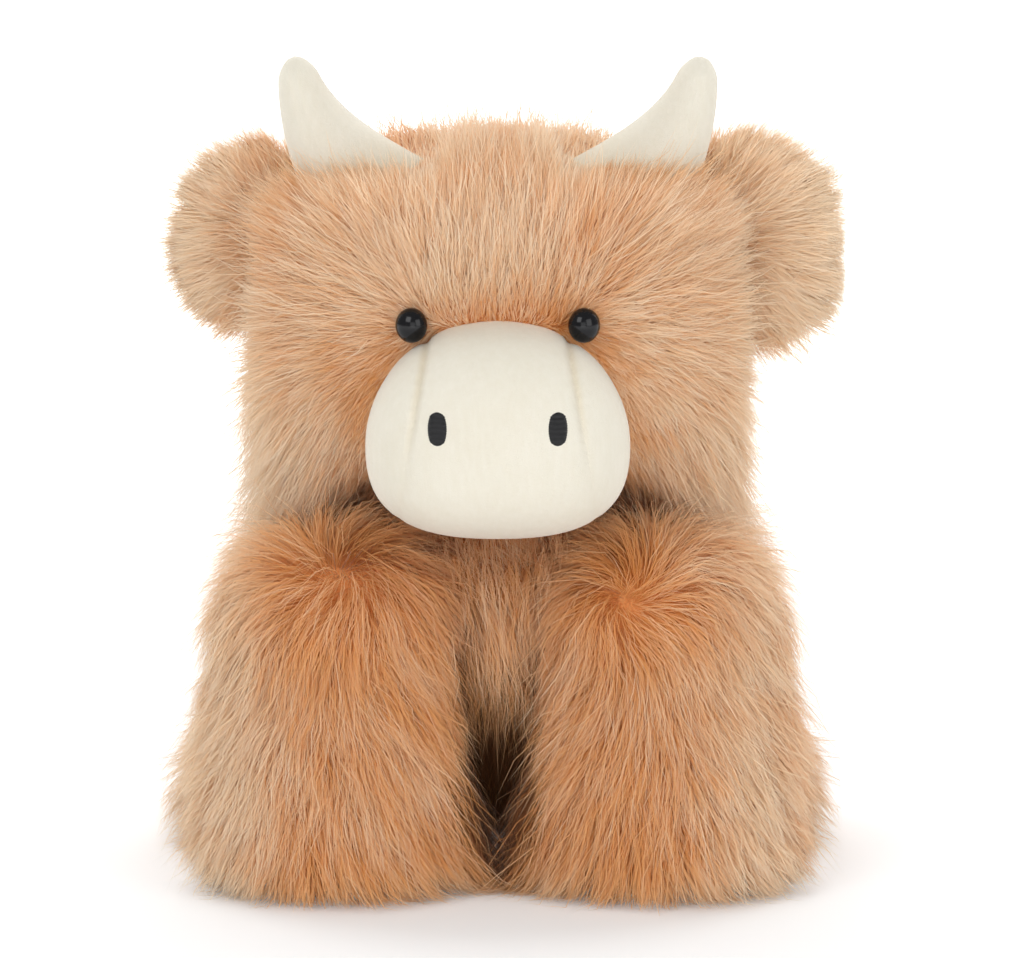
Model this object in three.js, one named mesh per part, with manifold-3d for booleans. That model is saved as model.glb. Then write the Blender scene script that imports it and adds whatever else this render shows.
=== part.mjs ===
// A seated plush highland cow in millimetres: Z up, facing -Y, with the middle of its seat on the
// floor at the origin. Left and right are the cow's own, so its left side is at +X.
import * as THREE from "three";
import { mergeVertices } from "three/addons/utils/BufferGeometryUtils.js";
import Module from "manifold-3d";

const wasm = await Module();
wasm.setup();

// Cloth and clearances
const PILE = 8; // the long pile as it lies on its backing
const BACKING = 2; // the knitted backing with its seam allowance
const FUR_CLOTH = PILE + BACKING;
const VELOUR = 2.4; // the short cream cloth of the muzzle and the horns
const SEAM_GAP = 0.4; // between pieces that are sewn or pressed together
const TURN_GAP = 0.9; // round a limb, between it and the seat that it turns in
const FLOOR_CUT = 0.5; // how deep a rounded form is flattened where it rests on the floor
const FAR = 400; // longer than the toy, for cuts that go right through

// Torso: a pear that leans forward over the front legs
const torso = {
  halfWidth: 88,
  waist: 44,
  top: 121,
  lapDepth: 34,
  chestDepth: 70,
  rumpDepth: 62,
  backDepth: 40,
  soleRounding: 0.55,
  shoulderRounding: 0.45,
  sideRounding: 0.9,
};
const neck = { radius: 38, y: -23, z: 115, openingRadius: 11 };
const pouch = { halfWidth: 24, halfDepth: 24, height: 17, y: 12 };

// Head: its own centre, from which everything sewn to it is placed
const head = {
  y: -34,
  z: 186,
  halfWidth: 79,
  halfDepth: 62,
  up: 60,
  down: 59,
  crownRounding: 0.72,
  jawRounding: 0.72,
  sideRounding: 0.88,
  cheekHalfWidth: 84,
  cheekFullness: 0.42,
};
const muzzle = {
  y: -58,
  z: -35,
  halfWidth: 43.5,
  up: 43,
  down: 30,
  reach: 34,
  rear: 36,
  frontRounding: 0.8,
  seamTop: 22,
  seamBend: 30,
  seamFoot: 33,
  openingMargin: 9,
};
const nostril = { x: 20, z: -24, halfWidth: 3.2, halfHeight: 5.6, thickness: 0.9 };
const eye = { x: 28.3, z: 7, turn: 14, radius: 5.2, dome: 4.6, rim: 1.1, sunk: 4 };
const shank = { radius: 1.6, tail: 1.6 };
const washer = { radius: 6, thickness: 1.2, fit: 0.25 };
const horn = {
  baseInset: 45,
  baseDrop: 33,
  bendInset: 15,
  bendDrop: 3,
  tipInset: 11.5,
  tipRise: 27,
  y: -8,
  baseRadius: 23,
  tipRadius: 5.2,
  tapering: 0.8,
};
const ear = { inset: 1, y: 12, z: 23, lean: 12, rootRadius: 12, reach: 25, halfHeight: 28, rounding: 0.85 };

// Limbs
const shoulder = { x: 54, y: -66, z: 84 };
const frontLeg = {
  halfWidth: 42,
  radius: 35,
  footHalfWidth: 47,
  footHalfDepth: 38,
  footForward: 17,
  footHeight: 24,
  soleRounding: 0.6,
};
const hip = { inset: 16, y: 8, turn: 25 };
const hindLeg = {
  radius: 26,
  reach: 48,
  height: 55,
  waist: 25,
  toeDroop: 0.2,
  soleRounding: 0.6,
  topRounding: 0.85,
};
const limbOpeningRadius = 10; // the opening that a limb is stuffed through
const tail = {
  z: 52,
  standOff: 5,
  rootRadius: 8,
  radius: 5.5,
  lean: 30,
  tuftRadius: 11,
  tuftLength: 34,
};

// How finely the forms are cut into faces: columns round each, then rows
const facets = {
  torso: [20, 8],
  head: [24, 10],
  muzzle: [24, 8],
  frontLeg: [20, 10],
  shankRows: 3,
  hindLeg: [16, 8],
  ear: [12, 6],
  horn: [12, 4],
  tail: [12, 4],
  pouch: [12, 4],
  ball: [16, 8],
  neck: [20, 12],
  insideShare: 0.5,
  outline: 6,
};

const FUR = { color: 0xcf9f7c, roughness: 1 };
const FILLING = { color: 0xf4f2ee, roughness: 1 };
const CREAM = { color: 0xf0ece0, roughness: 0.9 };
const BLACK_THREAD = { color: 0x1a1a1c, roughness: 0.7 };
const BLACK_BEAD = { color: 0x050506, roughness: 0.08 };
const WASHER_PLASTIC = { color: 0xe6e6e2, roughness: 0.5 };
const POUCH_CLOTH = { color: 0xd8d4c8, roughness: 0.95 };

const radians = THREE.MathUtils.degToRad;
const mix = THREE.MathUtils.lerp;
const smooth = (value) => THREE.MathUtils.smoothstep(value, 0, 1);
const signedPower = (value, exponent) => Math.sign(value) * Math.abs(value) ** exponent;

// A closed three.js geometry as a solid that can be cut and joined.
function solidOf(geometry) {
  const bare = geometry.index ? geometry.toNonIndexed() : geometry.clone();
  bare.deleteAttribute("normal");
  bare.deleteAttribute("uv");
  const merged = mergeVertices(bare, 1e-3);
  return new wasm.Manifold(
    new wasm.Mesh({
      numProp: 3,
      vertProperties: merged.attributes.position.array,
      triVerts: new Uint32Array(merged.index.array),
    }),
  );
}

// The largest separate body of a solid, without the slivers that a cut can leave.
function largest(solid) {
  const bodies = solid.decompose();
  return bodies.reduce((best, body) => (body.volume() > best.volume() ? body : best));
}

function meshOf(name, solid, look) {
  const { vertProperties, triVerts } = solid.getMesh();
  const geometry = new THREE.BufferGeometry();
  geometry.setAttribute("position", new THREE.BufferAttribute(new Float32Array(vertProperties), 3));
  geometry.setIndex(new THREE.BufferAttribute(new Uint32Array(triVerts), 1));
  geometry.computeVertexNormals();
  const mesh = new THREE.Mesh(geometry, new THREE.MeshStandardMaterial(look));
  mesh.name = name;
  return mesh;
}

function groupAt(position, ...children) {
  const group = new THREE.Group();
  group.position.set(...position);
  group.add(...children);
  return group;
}

// Columns and rows of a form, fewer where it is the hidden inside of a cloth.
function detail([columns, rows], grow) {
  const hidden = grow < -SEAM_GAP || grow > FUR_CLOTH;
  const share = hidden ? facets.insideShare : 1;
  return [4 * Math.round((columns * share) / 4), Math.round((rows * share) / 2)];
}

// A quarter arc of rings from a form's widest ring to its pole: share of the width, and height.
function arcRings(centre, reach, rounding, count) {
  const rings = [];
  for (let step = 0; step <= count; step++) {
    const angle = (step / count) * (Math.PI / 2);
    const height = centre + reach * Math.sin(angle) ** rounding;
    rings.push(new THREE.Vector2(Math.cos(angle) ** rounding, height));
  }
  return rings;
}

// A rounded form's rings from its bottom pole to its top pole.
function roundRings({ bottom, waist, top, lower = 1, upper = 1, rows }) {
  const under = arcRings(waist, bottom - waist, lower, rows).reverse();
  return [...under, ...arcRings(waist, top - waist, upper, rows).slice(1)];
}

// A closed form made of rings, each point of which place(share, angle, height) moves to its spot.
function form(rings, columns, place) {
  const geometry = new THREE.LatheGeometry(rings, columns).rotateX(Math.PI / 2);
  const points = geometry.attributes.position;
  for (let i = 0; i < points.count; i++) {
    const share = Math.hypot(points.getX(i), points.getY(i));
    const angle = Math.atan2(points.getY(i), points.getX(i));
    points.setXYZ(i, ...place(share, angle, points.getZ(i)));
  }
  return geometry;
}

function ball(radius, [x, y, z], detailOf = facets.ball) {
  return solidOf(new THREE.SphereGeometry(radius, ...detailOf).rotateZ(Math.PI / 2).translate(x, y, z));
}

// A round bar along Y from one depth to another.
function barAlongY(radius, fromY, toY, x, z) {
  const bar = new THREE.CylinderGeometry(radius, radius, toY - fromY, facets.ball[0]);
  return solidOf(bar.translate(x, (fromY + toY) / 2, z));
}

// A flat outline in X and Z, pushed from one depth to another along Y.
function plateAlongY(outline, fromY, toY) {
  const options = { depth: toY - fromY, bevelEnabled: false, curveSegments: facets.outline };
  return solidOf(new THREE.ExtrudeGeometry(outline, options).rotateX(Math.PI / 2).translate(0, toY, 0));
}

// A block that covers everything on one side of a plane.
function blockBeyond(axis, from, direction) {
  const centre = new THREE.Vector3().setComponent(axis, from + (direction * FAR) / 2);
  return solidOf(new THREE.BoxGeometry(FAR, FAR, FAR).translate(...centre));
}

function flatOnFloor(solid, floor = 0) {
  return solid.subtract(blockBeyond(2, floor, -1));
}

// Torso

function torsoDepth(height, grow) {
  const rise = smooth(height / torso.top);
  return {
    front: mix(torso.lapDepth, torso.chestDepth, rise) + grow,
    back: mix(torso.rumpDepth, torso.backDepth, rise) + grow,
  };
}

function torsoForm(grow) {
  const [columns, rows] = detail(facets.torso, grow);
  const rings = roundRings({
    bottom: -FLOOR_CUT - grow,
    waist: torso.waist,
    top: torso.top + grow,
    lower: torso.soleRounding,
    upper: torso.shoulderRounding,
    rows,
  });
  const pear = form(rings, columns, (share, angle, height) => {
    const { front, back } = torsoDepth(height, grow);
    const across = signedPower(Math.cos(angle), torso.sideRounding);
    const along = signedPower(Math.sin(angle), torso.sideRounding);
    const x = (torso.halfWidth + grow) * share * across;
    return [x, (along < 0 ? front : back) * share * along, height];
  });
  return solidOf(pear).add(ball(neck.radius + grow, [0, neck.y, neck.z], facets.neck));
}

// Front leg, about its shoulder: a round top that turns in the chest, and a heavy foot on the floor
function frontLegForm(grow) {
  const [columns, rows] = detail(facets.frontLeg, grow);
  const ankle = frontLeg.footHeight - shoulder.z;
  const bottom = -shoulder.z - FLOOR_CUT - grow;
  const rings = arcRings(ankle, bottom - ankle, frontLeg.soleRounding, rows).reverse();
  for (let row = 1; row < facets.shankRows; row++) {
    rings.push(new THREE.Vector2(1, mix(ankle, 0, row / facets.shankRows)));
  }
  rings.push(...arcRings(0, frontLeg.radius + grow, 1, rows));
  return form(rings, columns, (share, angle, height) => {
    const down = smooth(height / ankle);
    const halfWidth = mix(frontLeg.halfWidth, frontLeg.footHalfWidth, down) + grow;
    const halfDepth = mix(frontLeg.radius, frontLeg.footHalfDepth, down) + grow;
    const y = halfDepth * share * Math.sin(angle) - frontLeg.footForward * down;
    return [halfWidth * share * Math.cos(angle), y, height];
  });
}

// Hind leg, about its hip's upright axis at floor level: round behind the axis, a long toe before it
function hindLegForm(grow, toeDroop = hindLeg.toeDroop) {
  const [columns, rows] = detail(facets.hindLeg, grow);
  const rings = roundRings({
    bottom: -FLOOR_CUT - grow,
    waist: hindLeg.waist,
    top: hindLeg.height + grow,
    lower: hindLeg.soleRounding,
    upper: hindLeg.topRounding,
    rows,
  });
  return form(rings, columns, (share, angle, height) => {
    const radius = (hindLeg.radius + grow) * share;
    if (Math.sin(angle) >= 0) return [radius * Math.cos(angle), radius * Math.sin(angle), height];
    const ahead = share * Math.sin(angle);
    return [radius * Math.cos(angle), (hindLeg.reach + grow) * ahead, height * (1 + toeDroop * ahead)];
  });
}

const sides = { left: 1, right: -1 };

function atShoulder(geometry, side) {
  return geometry.translate(side * shoulder.x, shoulder.y, shoulder.z);
}

function atHip(geometry, side) {
  return geometry.rotateZ(side * radians(hip.turn)).translate(side * (torso.halfWidth - hip.inset), hip.y, 0);
}

const tailRoot = torsoDepth(tail.z, 0).back + tail.standOff;

// The room that the limbs and the tail take up in the torso, with a margin round them. Over the
// drooping toe of a hind leg it is level, so that the leg can turn outwards under the belly.
function limbRoom(margin) {
  let room = ball(tail.rootRadius + margin, [0, tailRoot, tail.z]);
  for (const side of Object.values(sides)) {
    room = room.add(solidOf(atShoulder(frontLegForm(margin), side)));
    room = room.add(solidOf(atHip(hindLegForm(margin, 0), side)));
  }
  return room;
}

function torsoInside(margin) {
  return largest(torsoForm(-margin).subtract(limbRoom(TURN_GAP + margin)));
}

// The pellet pouch, deeper than its place, which the floor of the torso's inside then cuts flat
function pouchForm(grow) {
  const [columns, rows] = detail(facets.pouch, 0);
  const rings = roundRings({ bottom: 0, waist: FUR_CLOTH, top: FUR_CLOTH + pouch.height + grow, rows });
  const bag = form(rings, columns, (share, angle, height) => [
    (pouch.halfWidth + grow) * share * Math.cos(angle),
    (pouch.halfDepth + grow) * share * Math.sin(angle) + pouch.y,
    height,
  ]);
  return solidOf(bag);
}

function makeTorso() {
  const neckOpening = new THREE.CylinderGeometry(neck.openingRadius, neck.openingRadius, FAR, facets.ball[0]);
  const throat = solidOf(neckOpening.rotateX(Math.PI / 2).translate(0, neck.y, neck.z + FAR / 2));
  const outside = flatOnFloor(torsoForm(0).subtract(limbRoom(TURN_GAP)));
  const skin = largest(outside).subtract(torsoInside(FUR_CLOTH)).subtract(throat);
  const inside = torsoInside(FUR_CLOTH + SEAM_GAP);
  const filling = inside.subtract(pouchForm(SEAM_GAP));
  return groupAt(
    [0, 0, 0],
    meshOf("body_skin", skin, FUR),
    meshOf("body_filling", largest(filling), FILLING),
    meshOf("pellet_pouch", inside.intersect(pouchForm(0)), POUCH_CLOTH),
  );
}

// Head

// How far out the head reaches at a height. Its cheeks widen downwards and stay full almost to the jaw.
function headHalfWidth(share, height, grow) {
  if (height >= 0) return (head.halfWidth + grow) * share;
  const halfWidth = mix(head.halfWidth, head.cheekHalfWidth, smooth(-height / head.down));
  return (halfWidth + grow) * share ** head.cheekFullness;
}

function headForm(grow) {
  const [columns, rows] = detail(facets.head, grow);
  const rings = roundRings({
    bottom: -head.down - grow,
    waist: 0,
    top: head.up + grow,
    lower: head.jawRounding,
    upper: head.crownRounding,
    rows,
  });
  return solidOf(
    form(rings, columns, (share, angle, height) => [
      headHalfWidth(share, height, grow) * signedPower(Math.cos(angle), head.sideRounding),
      (head.halfDepth + grow) * share * signedPower(Math.sin(angle), head.sideRounding),
      height,
    ]),
  );
}

// How far forward the face stands at a spot that is seen from the front.
function faceDepth(x, z) {
  const rounding = z > 0 ? head.crownRounding : head.jawRounding;
  const reach = z > 0 ? head.up : head.down;
  const share = (1 - Math.abs(z / reach) ** (2 / rounding)) ** (rounding / 2);
  const across = Math.abs(x / headHalfWidth(share, z, 0)) ** (2 / head.sideRounding);
  return -head.halfDepth * share * (1 - across) ** (head.sideRounding / 2);
}

const neckInHead = [0, neck.y - head.y, neck.z - head.z];

// Muzzle

function muzzleForm(grow) {
  const [columns, rows] = detail(facets.muzzle, grow);
  const rings = roundRings({
    bottom: -muzzle.rear - grow,
    waist: 0,
    top: muzzle.reach + grow,
    upper: muzzle.frontRounding,
    rows,
  });
  const dome = form(rings, columns, (share, angle, height) => {
    const reach = (Math.sin(angle) > 0 ? muzzle.up : muzzle.down) + grow;
    return [(muzzle.halfWidth + grow) * share * Math.cos(angle), reach * share * Math.sin(angle), height];
  });
  return solidOf(dome.rotateX(Math.PI / 2).translate(0, muzzle.y, muzzle.z));
}

// The outline of the middle panel, from the front: narrow above, wide below.
function middlePanelOutline(inset) {
  const top = muzzle.z + muzzle.up + VELOUR;
  const foot = muzzle.z - muzzle.down - VELOUR;
  const outline = new THREE.Shape().moveTo(-muzzle.seamFoot + inset, foot);
  outline.lineTo(muzzle.seamFoot - inset, foot);
  outline.quadraticCurveTo(muzzle.seamBend - inset, muzzle.z, muzzle.seamTop - inset, top);
  outline.lineTo(-muzzle.seamTop + inset, top);
  outline.quadraticCurveTo(-muzzle.seamBend + inset, muzzle.z, -muzzle.seamFoot + inset, foot);
  return outline;
}

function muzzleOpening(inset) {
  const halfWidth = muzzle.halfWidth - muzzle.openingMargin - inset;
  const halfHeight = muzzle.down - muzzle.openingMargin - inset;
  const outline = new THREE.Shape().absellipse(0, muzzle.z, halfWidth, halfHeight, 0, 2 * Math.PI);
  return plateAlongY(outline, muzzle.y - muzzle.reach, muzzle.y + FUR_CLOTH + muzzle.rear);
}

function nostrilColumn(side, grow) {
  const outline = new THREE.Shape();
  const across = nostril.halfWidth + grow;
  outline.absellipse(side * nostril.x, nostril.z, across, nostril.halfHeight + grow, 0, 2 * Math.PI);
  return plateAlongY(outline, muzzle.y - 2 * muzzle.reach, muzzle.y);
}

function makeMuzzle() {
  const face = headForm(SEAM_GAP);
  const shell = muzzleForm(0).subtract(muzzleForm(-VELOUR)).subtract(face);
  const wide = plateAlongY(middlePanelOutline(-SEAM_GAP / 2), -FAR, FAR);
  const narrow = plateAlongY(middlePanelOutline(SEAM_GAP / 2), -FAR, FAR);
  const filling = muzzleForm(-VELOUR - SEAM_GAP).subtract(face);
  const pieces = [
    meshOf("muzzle_middle_panel", largest(shell.intersect(narrow)), CREAM),
    meshOf("muzzle_filling", largest(filling), FILLING),
  ];
  for (const [name, side] of Object.entries(sides)) {
    const cheek = shell.subtract(wide).subtract(blockBeyond(0, 0, -side));
    const thread = muzzleForm(SEAM_GAP + nostril.thickness).subtract(muzzleForm(SEAM_GAP));
    pieces.push(meshOf(`muzzle_${name}_panel`, largest(cheek), CREAM));
    pieces.push(meshOf(`nostril_${name}`, largest(thread.intersect(nostrilColumn(side, 0))), BLACK_THREAD));
  }
  return pieces;
}

// Eyes: a bead in front of the cloth, its shank through it and a lock washer behind it

const washerSeat = FUR_CLOTH;
const shankEnd = washerSeat + washer.thickness + shank.tail;

function beadGeometry() {
  const edge = eye.sunk - eye.rim;
  const dome = arcRings(edge, -eye.dome, 1, facets.outline).reverse();
  const outline = dome.map((ring) => new THREE.Vector2(ring.x * eye.radius, ring.y));
  outline.push(new THREE.Vector2(eye.radius, eye.sunk));
  outline.push(new THREE.Vector2(shank.radius, eye.sunk));
  outline.push(new THREE.Vector2(shank.radius, shankEnd));
  outline.push(new THREE.Vector2(0, shankEnd));
  return new THREE.LatheGeometry(outline, facets.ball[0]);
}

function washerGeometry() {
  const ring = new THREE.Shape().absarc(0, 0, washer.radius, 0, 2 * Math.PI);
  ring.holes.push(new THREE.Path().absarc(0, 0, shank.radius + washer.fit, 0, 2 * Math.PI, true));
  const options = { depth: washer.thickness, bevelEnabled: false, curveSegments: facets.outline };
  return new THREE.ExtrudeGeometry(ring, options).rotateX(-Math.PI / 2).translate(0, washerSeat, 0);
}

function eyePlace(side) {
  const matrix = new THREE.Matrix4().makeRotationZ(side * radians(eye.turn));
  return matrix.setPosition(side * eye.x, faceDepth(eye.x, eye.z), eye.z);
}

// What an eye takes out of the head's cloth, and its washer out of the filling.
function eyeRoom(side) {
  const bars = [
    [eye.radius + SEAM_GAP, -eye.dome * 2, eye.sunk + SEAM_GAP],
    [shank.radius + washer.fit, 0, shankEnd + SEAM_GAP],
    [washer.radius + SEAM_GAP, washerSeat - SEAM_GAP, shankEnd + SEAM_GAP],
  ];
  let room = null;
  for (const [radius, fromY, toY] of bars) {
    const bar = new THREE.CylinderGeometry(radius, radius, toY - fromY, facets.ball[0]);
    const cut = solidOf(bar.translate(0, (fromY + toY) / 2, 0).applyMatrix4(eyePlace(side)));
    room = room ? room.add(cut) : cut;
  }
  return room;
}

function makeEye(name, side) {
  const group = new THREE.Group();
  group.applyMatrix4(eyePlace(side));
  group.add(meshOf(`eye_${name}`, solidOf(beadGeometry()), BLACK_BEAD));
  group.add(meshOf(`eye_washer_${name}`, solidOf(washerGeometry()), WASHER_PLASTIC));
  return group;
}

// Horns: a tapering tube of velour along a curve, open where it is sewn to the crown

function hornForm(grow, side) {
  const curve = new THREE.QuadraticBezierCurve3(
    new THREE.Vector3(head.halfWidth - horn.baseInset, 0, head.up - horn.baseDrop),
    new THREE.Vector3(head.halfWidth - horn.bendInset, 0, head.up - horn.bendDrop),
    new THREE.Vector3(head.halfWidth - horn.tipInset, 0, head.up + horn.tipRise),
  );
  const length = curve.getLength();
  const [columns, rows] = detail(facets.horn, grow);
  const cap = horn.tipRadius / length;
  const rings = [new THREE.Vector2(0, 0)];
  for (let row = 0; row < 2 * rows; row++) {
    rings.push(new THREE.Vector2(1, ((1 - cap) * row) / (2 * rows)));
  }
  rings.push(...arcRings(1 - cap, cap, 1, rows));
  const tube = form(rings, columns, (share, angle, height) => {
    const along = height * (1 + grow / length);
    const centre = curve.getPoint(along);
    const tangent = curve.getTangent(along);
    const taper = Math.max(height, 0) ** horn.tapering;
    const radius = (mix(horn.baseRadius, horn.tipRadius, taper) + grow) * share;
    const across = radius * Math.cos(angle);
    return [centre.x + tangent.z * across, radius * Math.sin(angle), centre.z - tangent.x * across];
  });
  const turned = side > 0 ? tube : tube.rotateZ(Math.PI);
  return solidOf(turned.translate(0, horn.y, 0));
}

function makeHorn(name, side) {
  const crown = headForm(SEAM_GAP);
  const skin = hornForm(0, side).subtract(hornForm(-VELOUR, side)).subtract(crown);
  const filling = hornForm(-VELOUR - SEAM_GAP, side).subtract(crown);
  return [
    meshOf(`horn_${name}`, largest(skin), CREAM),
    meshOf(`horn_filling_${name}`, largest(filling), FILLING),
  ];
}

// Ears: a front and a back panel of fur, folding about the seam at their root

function earForm(grow) {
  const [columns, rows] = detail(facets.ear, grow);
  const tip = ear.halfHeight + grow;
  const rings = roundRings({
    bottom: -tip,
    waist: 0,
    top: tip,
    lower: ear.rounding,
    upper: ear.rounding,
    rows,
  });
  return form(rings, columns, (share, angle, height) => {
    const across = Math.cos(angle) > 0 ? ear.reach : ear.rootRadius;
    const x = (across + grow) * share * Math.cos(angle);
    return [x, (ear.rootRadius + grow) * share * Math.sin(angle), height];
  });
}

function earPlace(side) {
  const turn = new THREE.Euler(0, -side * radians(ear.lean), side > 0 ? 0 : Math.PI);
  return new THREE.Matrix4().makeRotationFromEuler(turn).setPosition(side * (head.halfWidth - ear.inset), ear.y, ear.z);
}

function earRoom(margin) {
  const rooms = Object.values(sides).map((side) => solidOf(earForm(margin).applyMatrix4(earPlace(side))));
  return rooms[0].add(rooms[1]);
}

function makeEar(name, side) {
  const whole = solidOf(earForm(0));
  const group = new THREE.Group();
  group.applyMatrix4(earPlace(side));
  const front = whole.subtract(blockBeyond(1, (-side * SEAM_GAP) / 2, side));
  const back = whole.subtract(blockBeyond(1, (side * SEAM_GAP) / 2, -side));
  group.add(meshOf(`ear_front_${name}`, front, FUR));
  group.add(meshOf(`ear_back_${name}`, back, FUR));
  return group;
}

function makeHead() {
  const socket = ball(neck.radius + TURN_GAP, neckInHead, facets.neck);
  const eyeRooms = eyeRoom(sides.left).add(eyeRoom(sides.right));
  const inside = headForm(-FUR_CLOTH).subtract(earRoom(TURN_GAP + FUR_CLOTH));
  const outside = headForm(0).subtract(socket).subtract(earRoom(TURN_GAP));
  const skin = outside.subtract(inside).subtract(muzzleOpening(0)).subtract(eyeRooms);
  const margin = FUR_CLOTH + SEAM_GAP;
  const plug = muzzleOpening(SEAM_GAP).intersect(headForm(-SEAM_GAP));
  const core = headForm(-margin).subtract(earRoom(TURN_GAP + margin)).add(plug);
  const filling = core.subtract(socket).subtract(eyeRooms);
  const pieces = [
    meshOf("head_skin", largest(skin), FUR),
    meshOf("head_filling", largest(filling), FILLING),
    ...makeMuzzle(),
  ];
  for (const [name, side] of Object.entries(sides)) {
    pieces.push(makeEye(name, side), ...makeHorn(name, side), makeEar(name, side));
  }
  return groupAt([0, head.y, head.z], ...pieces);
}

// Limbs

function makeFrontLeg(name, side) {
  const opening = barAlongY(limbOpeningRadius, 0, 2 * frontLeg.radius, 0, 0);
  const outside = flatOnFloor(solidOf(frontLegForm(0)), -shoulder.z);
  const skin = outside.subtract(solidOf(frontLegForm(-FUR_CLOTH))).subtract(opening);
  return groupAt(
    [side * shoulder.x, shoulder.y, shoulder.z],
    meshOf(`front_leg_${name}`, skin, FUR),
    meshOf(`front_leg_filling_${name}`, solidOf(frontLegForm(-FUR_CLOTH - SEAM_GAP)), FILLING),
  );
}

function makeHindLeg(name, side) {
  const opening = barAlongY(limbOpeningRadius, 0, 2 * hindLeg.radius, 0, hindLeg.waist);
  const outside = flatOnFloor(solidOf(hindLegForm(0)));
  const skin = outside.subtract(solidOf(hindLegForm(-FUR_CLOTH))).subtract(opening);
  const group = groupAt(
    [side * (torso.halfWidth - hip.inset), hip.y, 0],
    meshOf(`hind_leg_${name}`, skin, FUR),
    meshOf(`hind_leg_filling_${name}`, solidOf(hindLegForm(-FUR_CLOTH - SEAM_GAP)), FILLING),
  );
  group.rotation.z = side * radians(hip.turn);
  return group;
}

// Tail: a thin sewn tube from its round root, with a tuft of long pile that lies on the floor
function makeTail() {
  const lean = radians(tail.lean);
  const halfTuft = tail.tuftLength / 2;
  const tuftDrop = Math.hypot(halfTuft * Math.cos(lean), tail.tuftRadius * Math.sin(lean));
  const length = (tail.z - tuftDrop + FLOOR_CUT) / Math.cos(lean);
  const [columns, rows] = detail(facets.tail, 0);
  const tube = new THREE.CylinderGeometry(tail.radius, tail.radius, length, columns);
  tube.rotateX(Math.PI / 2).translate(0, 0, -length / 2).rotateX(lean);
  const sleeve = tail.radius + SEAM_GAP;
  const hole = new THREE.CylinderGeometry(sleeve, sleeve, length + SEAM_GAP, columns);
  hole.rotateX(Math.PI / 2).translate(0, 0, -(length + SEAM_GAP) / 2).rotateX(lean);
  const rings = roundRings({ bottom: -halfTuft, waist: 0, top: halfTuft, rows });
  const tuft = form(rings, columns, (share, angle, height) => [
    tail.tuftRadius * share * Math.cos(angle),
    tail.tuftRadius * share * Math.sin(angle),
    height - length,
  ]).rotateX(lean);
  return groupAt(
    [0, tailRoot, tail.z],
    meshOf("tail", solidOf(tube).add(ball(tail.rootRadius, [0, 0, 0])), FUR),
    meshOf("tail_tuft", flatOnFloor(solidOf(tuft), -tail.z).subtract(solidOf(hole)), FUR),
  );
}

const cow = new THREE.Group();
cow.add(makeTorso(), makeHead(), makeTail());
for (const [name, side] of Object.entries(sides)) {
  cow.add(makeFrontLeg(name, side), makeHindLeg(name, side));
}
export default cow;
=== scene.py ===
"""Looks of a seated plush highland cow: long fur, velour muzzle and horns, bead eyes.

Sizes are millimetres in the part's frame (+Z up, the cow faces -Y, its left side at +X) and become
metres when a mesh is made.
"""

import logging
import math
from dataclasses import dataclass, field, replace
from enum import Enum
from typing import Callable

import bmesh
import bpy
import numpy as np
from mathutils import Matrix, Vector
from mathutils.bvhtree import BVHTree
from mathutils.kdtree import KDTree

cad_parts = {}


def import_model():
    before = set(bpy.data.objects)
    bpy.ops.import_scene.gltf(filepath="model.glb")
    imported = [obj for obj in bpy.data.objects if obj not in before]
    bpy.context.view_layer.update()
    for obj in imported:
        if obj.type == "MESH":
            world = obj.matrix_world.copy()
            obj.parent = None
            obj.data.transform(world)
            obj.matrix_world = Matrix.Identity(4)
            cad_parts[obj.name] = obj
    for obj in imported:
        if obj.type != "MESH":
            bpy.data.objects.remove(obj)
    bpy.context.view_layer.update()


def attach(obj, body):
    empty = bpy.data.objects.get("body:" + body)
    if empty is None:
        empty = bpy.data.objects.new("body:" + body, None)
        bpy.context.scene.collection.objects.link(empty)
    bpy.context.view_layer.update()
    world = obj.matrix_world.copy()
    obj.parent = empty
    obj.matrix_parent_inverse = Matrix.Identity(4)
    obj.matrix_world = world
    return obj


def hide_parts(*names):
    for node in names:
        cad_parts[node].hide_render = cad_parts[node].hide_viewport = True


log = logging.getLogger("plush_cow")

MM = 0.001
PILE = 8.0  # how far the roots of the fur lie under the part's outer faces
POCKET_GAP = 1.0  # between a limb and the backing of the pocket that it turns in
DARKENING = "crease"  # the attribute that says how much the velour is darkened: along the muzzle's seams and towards the horns' feet

Array = np.ndarray
Place = Callable[[Array, Array, Array], Array]  # of shares of the width, angles and heights
Comb = Callable[[Array, Array], Array]  # of places and normals
Field = Callable[[Array], Array]  # of places


def smooth(value: Array | float, low: float = 0.0, high: float = 1.0) -> Array:
    """Return 0 below low, 1 above high and a smooth step between them."""
    t = np.clip((np.asarray(value, dtype=float) - low) / (high - low), 0.0, 1.0)
    return t * t * (3.0 - 2.0 * t)


def fading(value: Array | float, low: float, high: float) -> Array:
    """Return 1 below low, 0 above high and a smooth step between them."""
    return 1.0 - smooth(value, low, high)


def signed_power(value: Array, exponent: float) -> Array:
    """Return a power that keeps the sign of its base."""
    return np.sign(value) * np.abs(value) ** exponent


def unit(vectors: Array) -> Array:
    """Return the vectors scaled to length 1."""
    return vectors / np.maximum(np.linalg.norm(vectors, axis=-1, keepdims=True), 1e-9)


def distance(points: Array, place: tuple[float, float, float]) -> Array:
    """Return how far each point is from a place."""
    return np.linalg.norm(points - np.array(place), axis=-1)


class Side(Enum):
    """The cow's own left and right, each with the sign of its X."""

    LEFT = 1
    RIGHT = -1

    @property
    def word(self) -> str:
        """Return the side's name as the part's nodes spell it."""
        return self.name.lower()


# Materials


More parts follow.
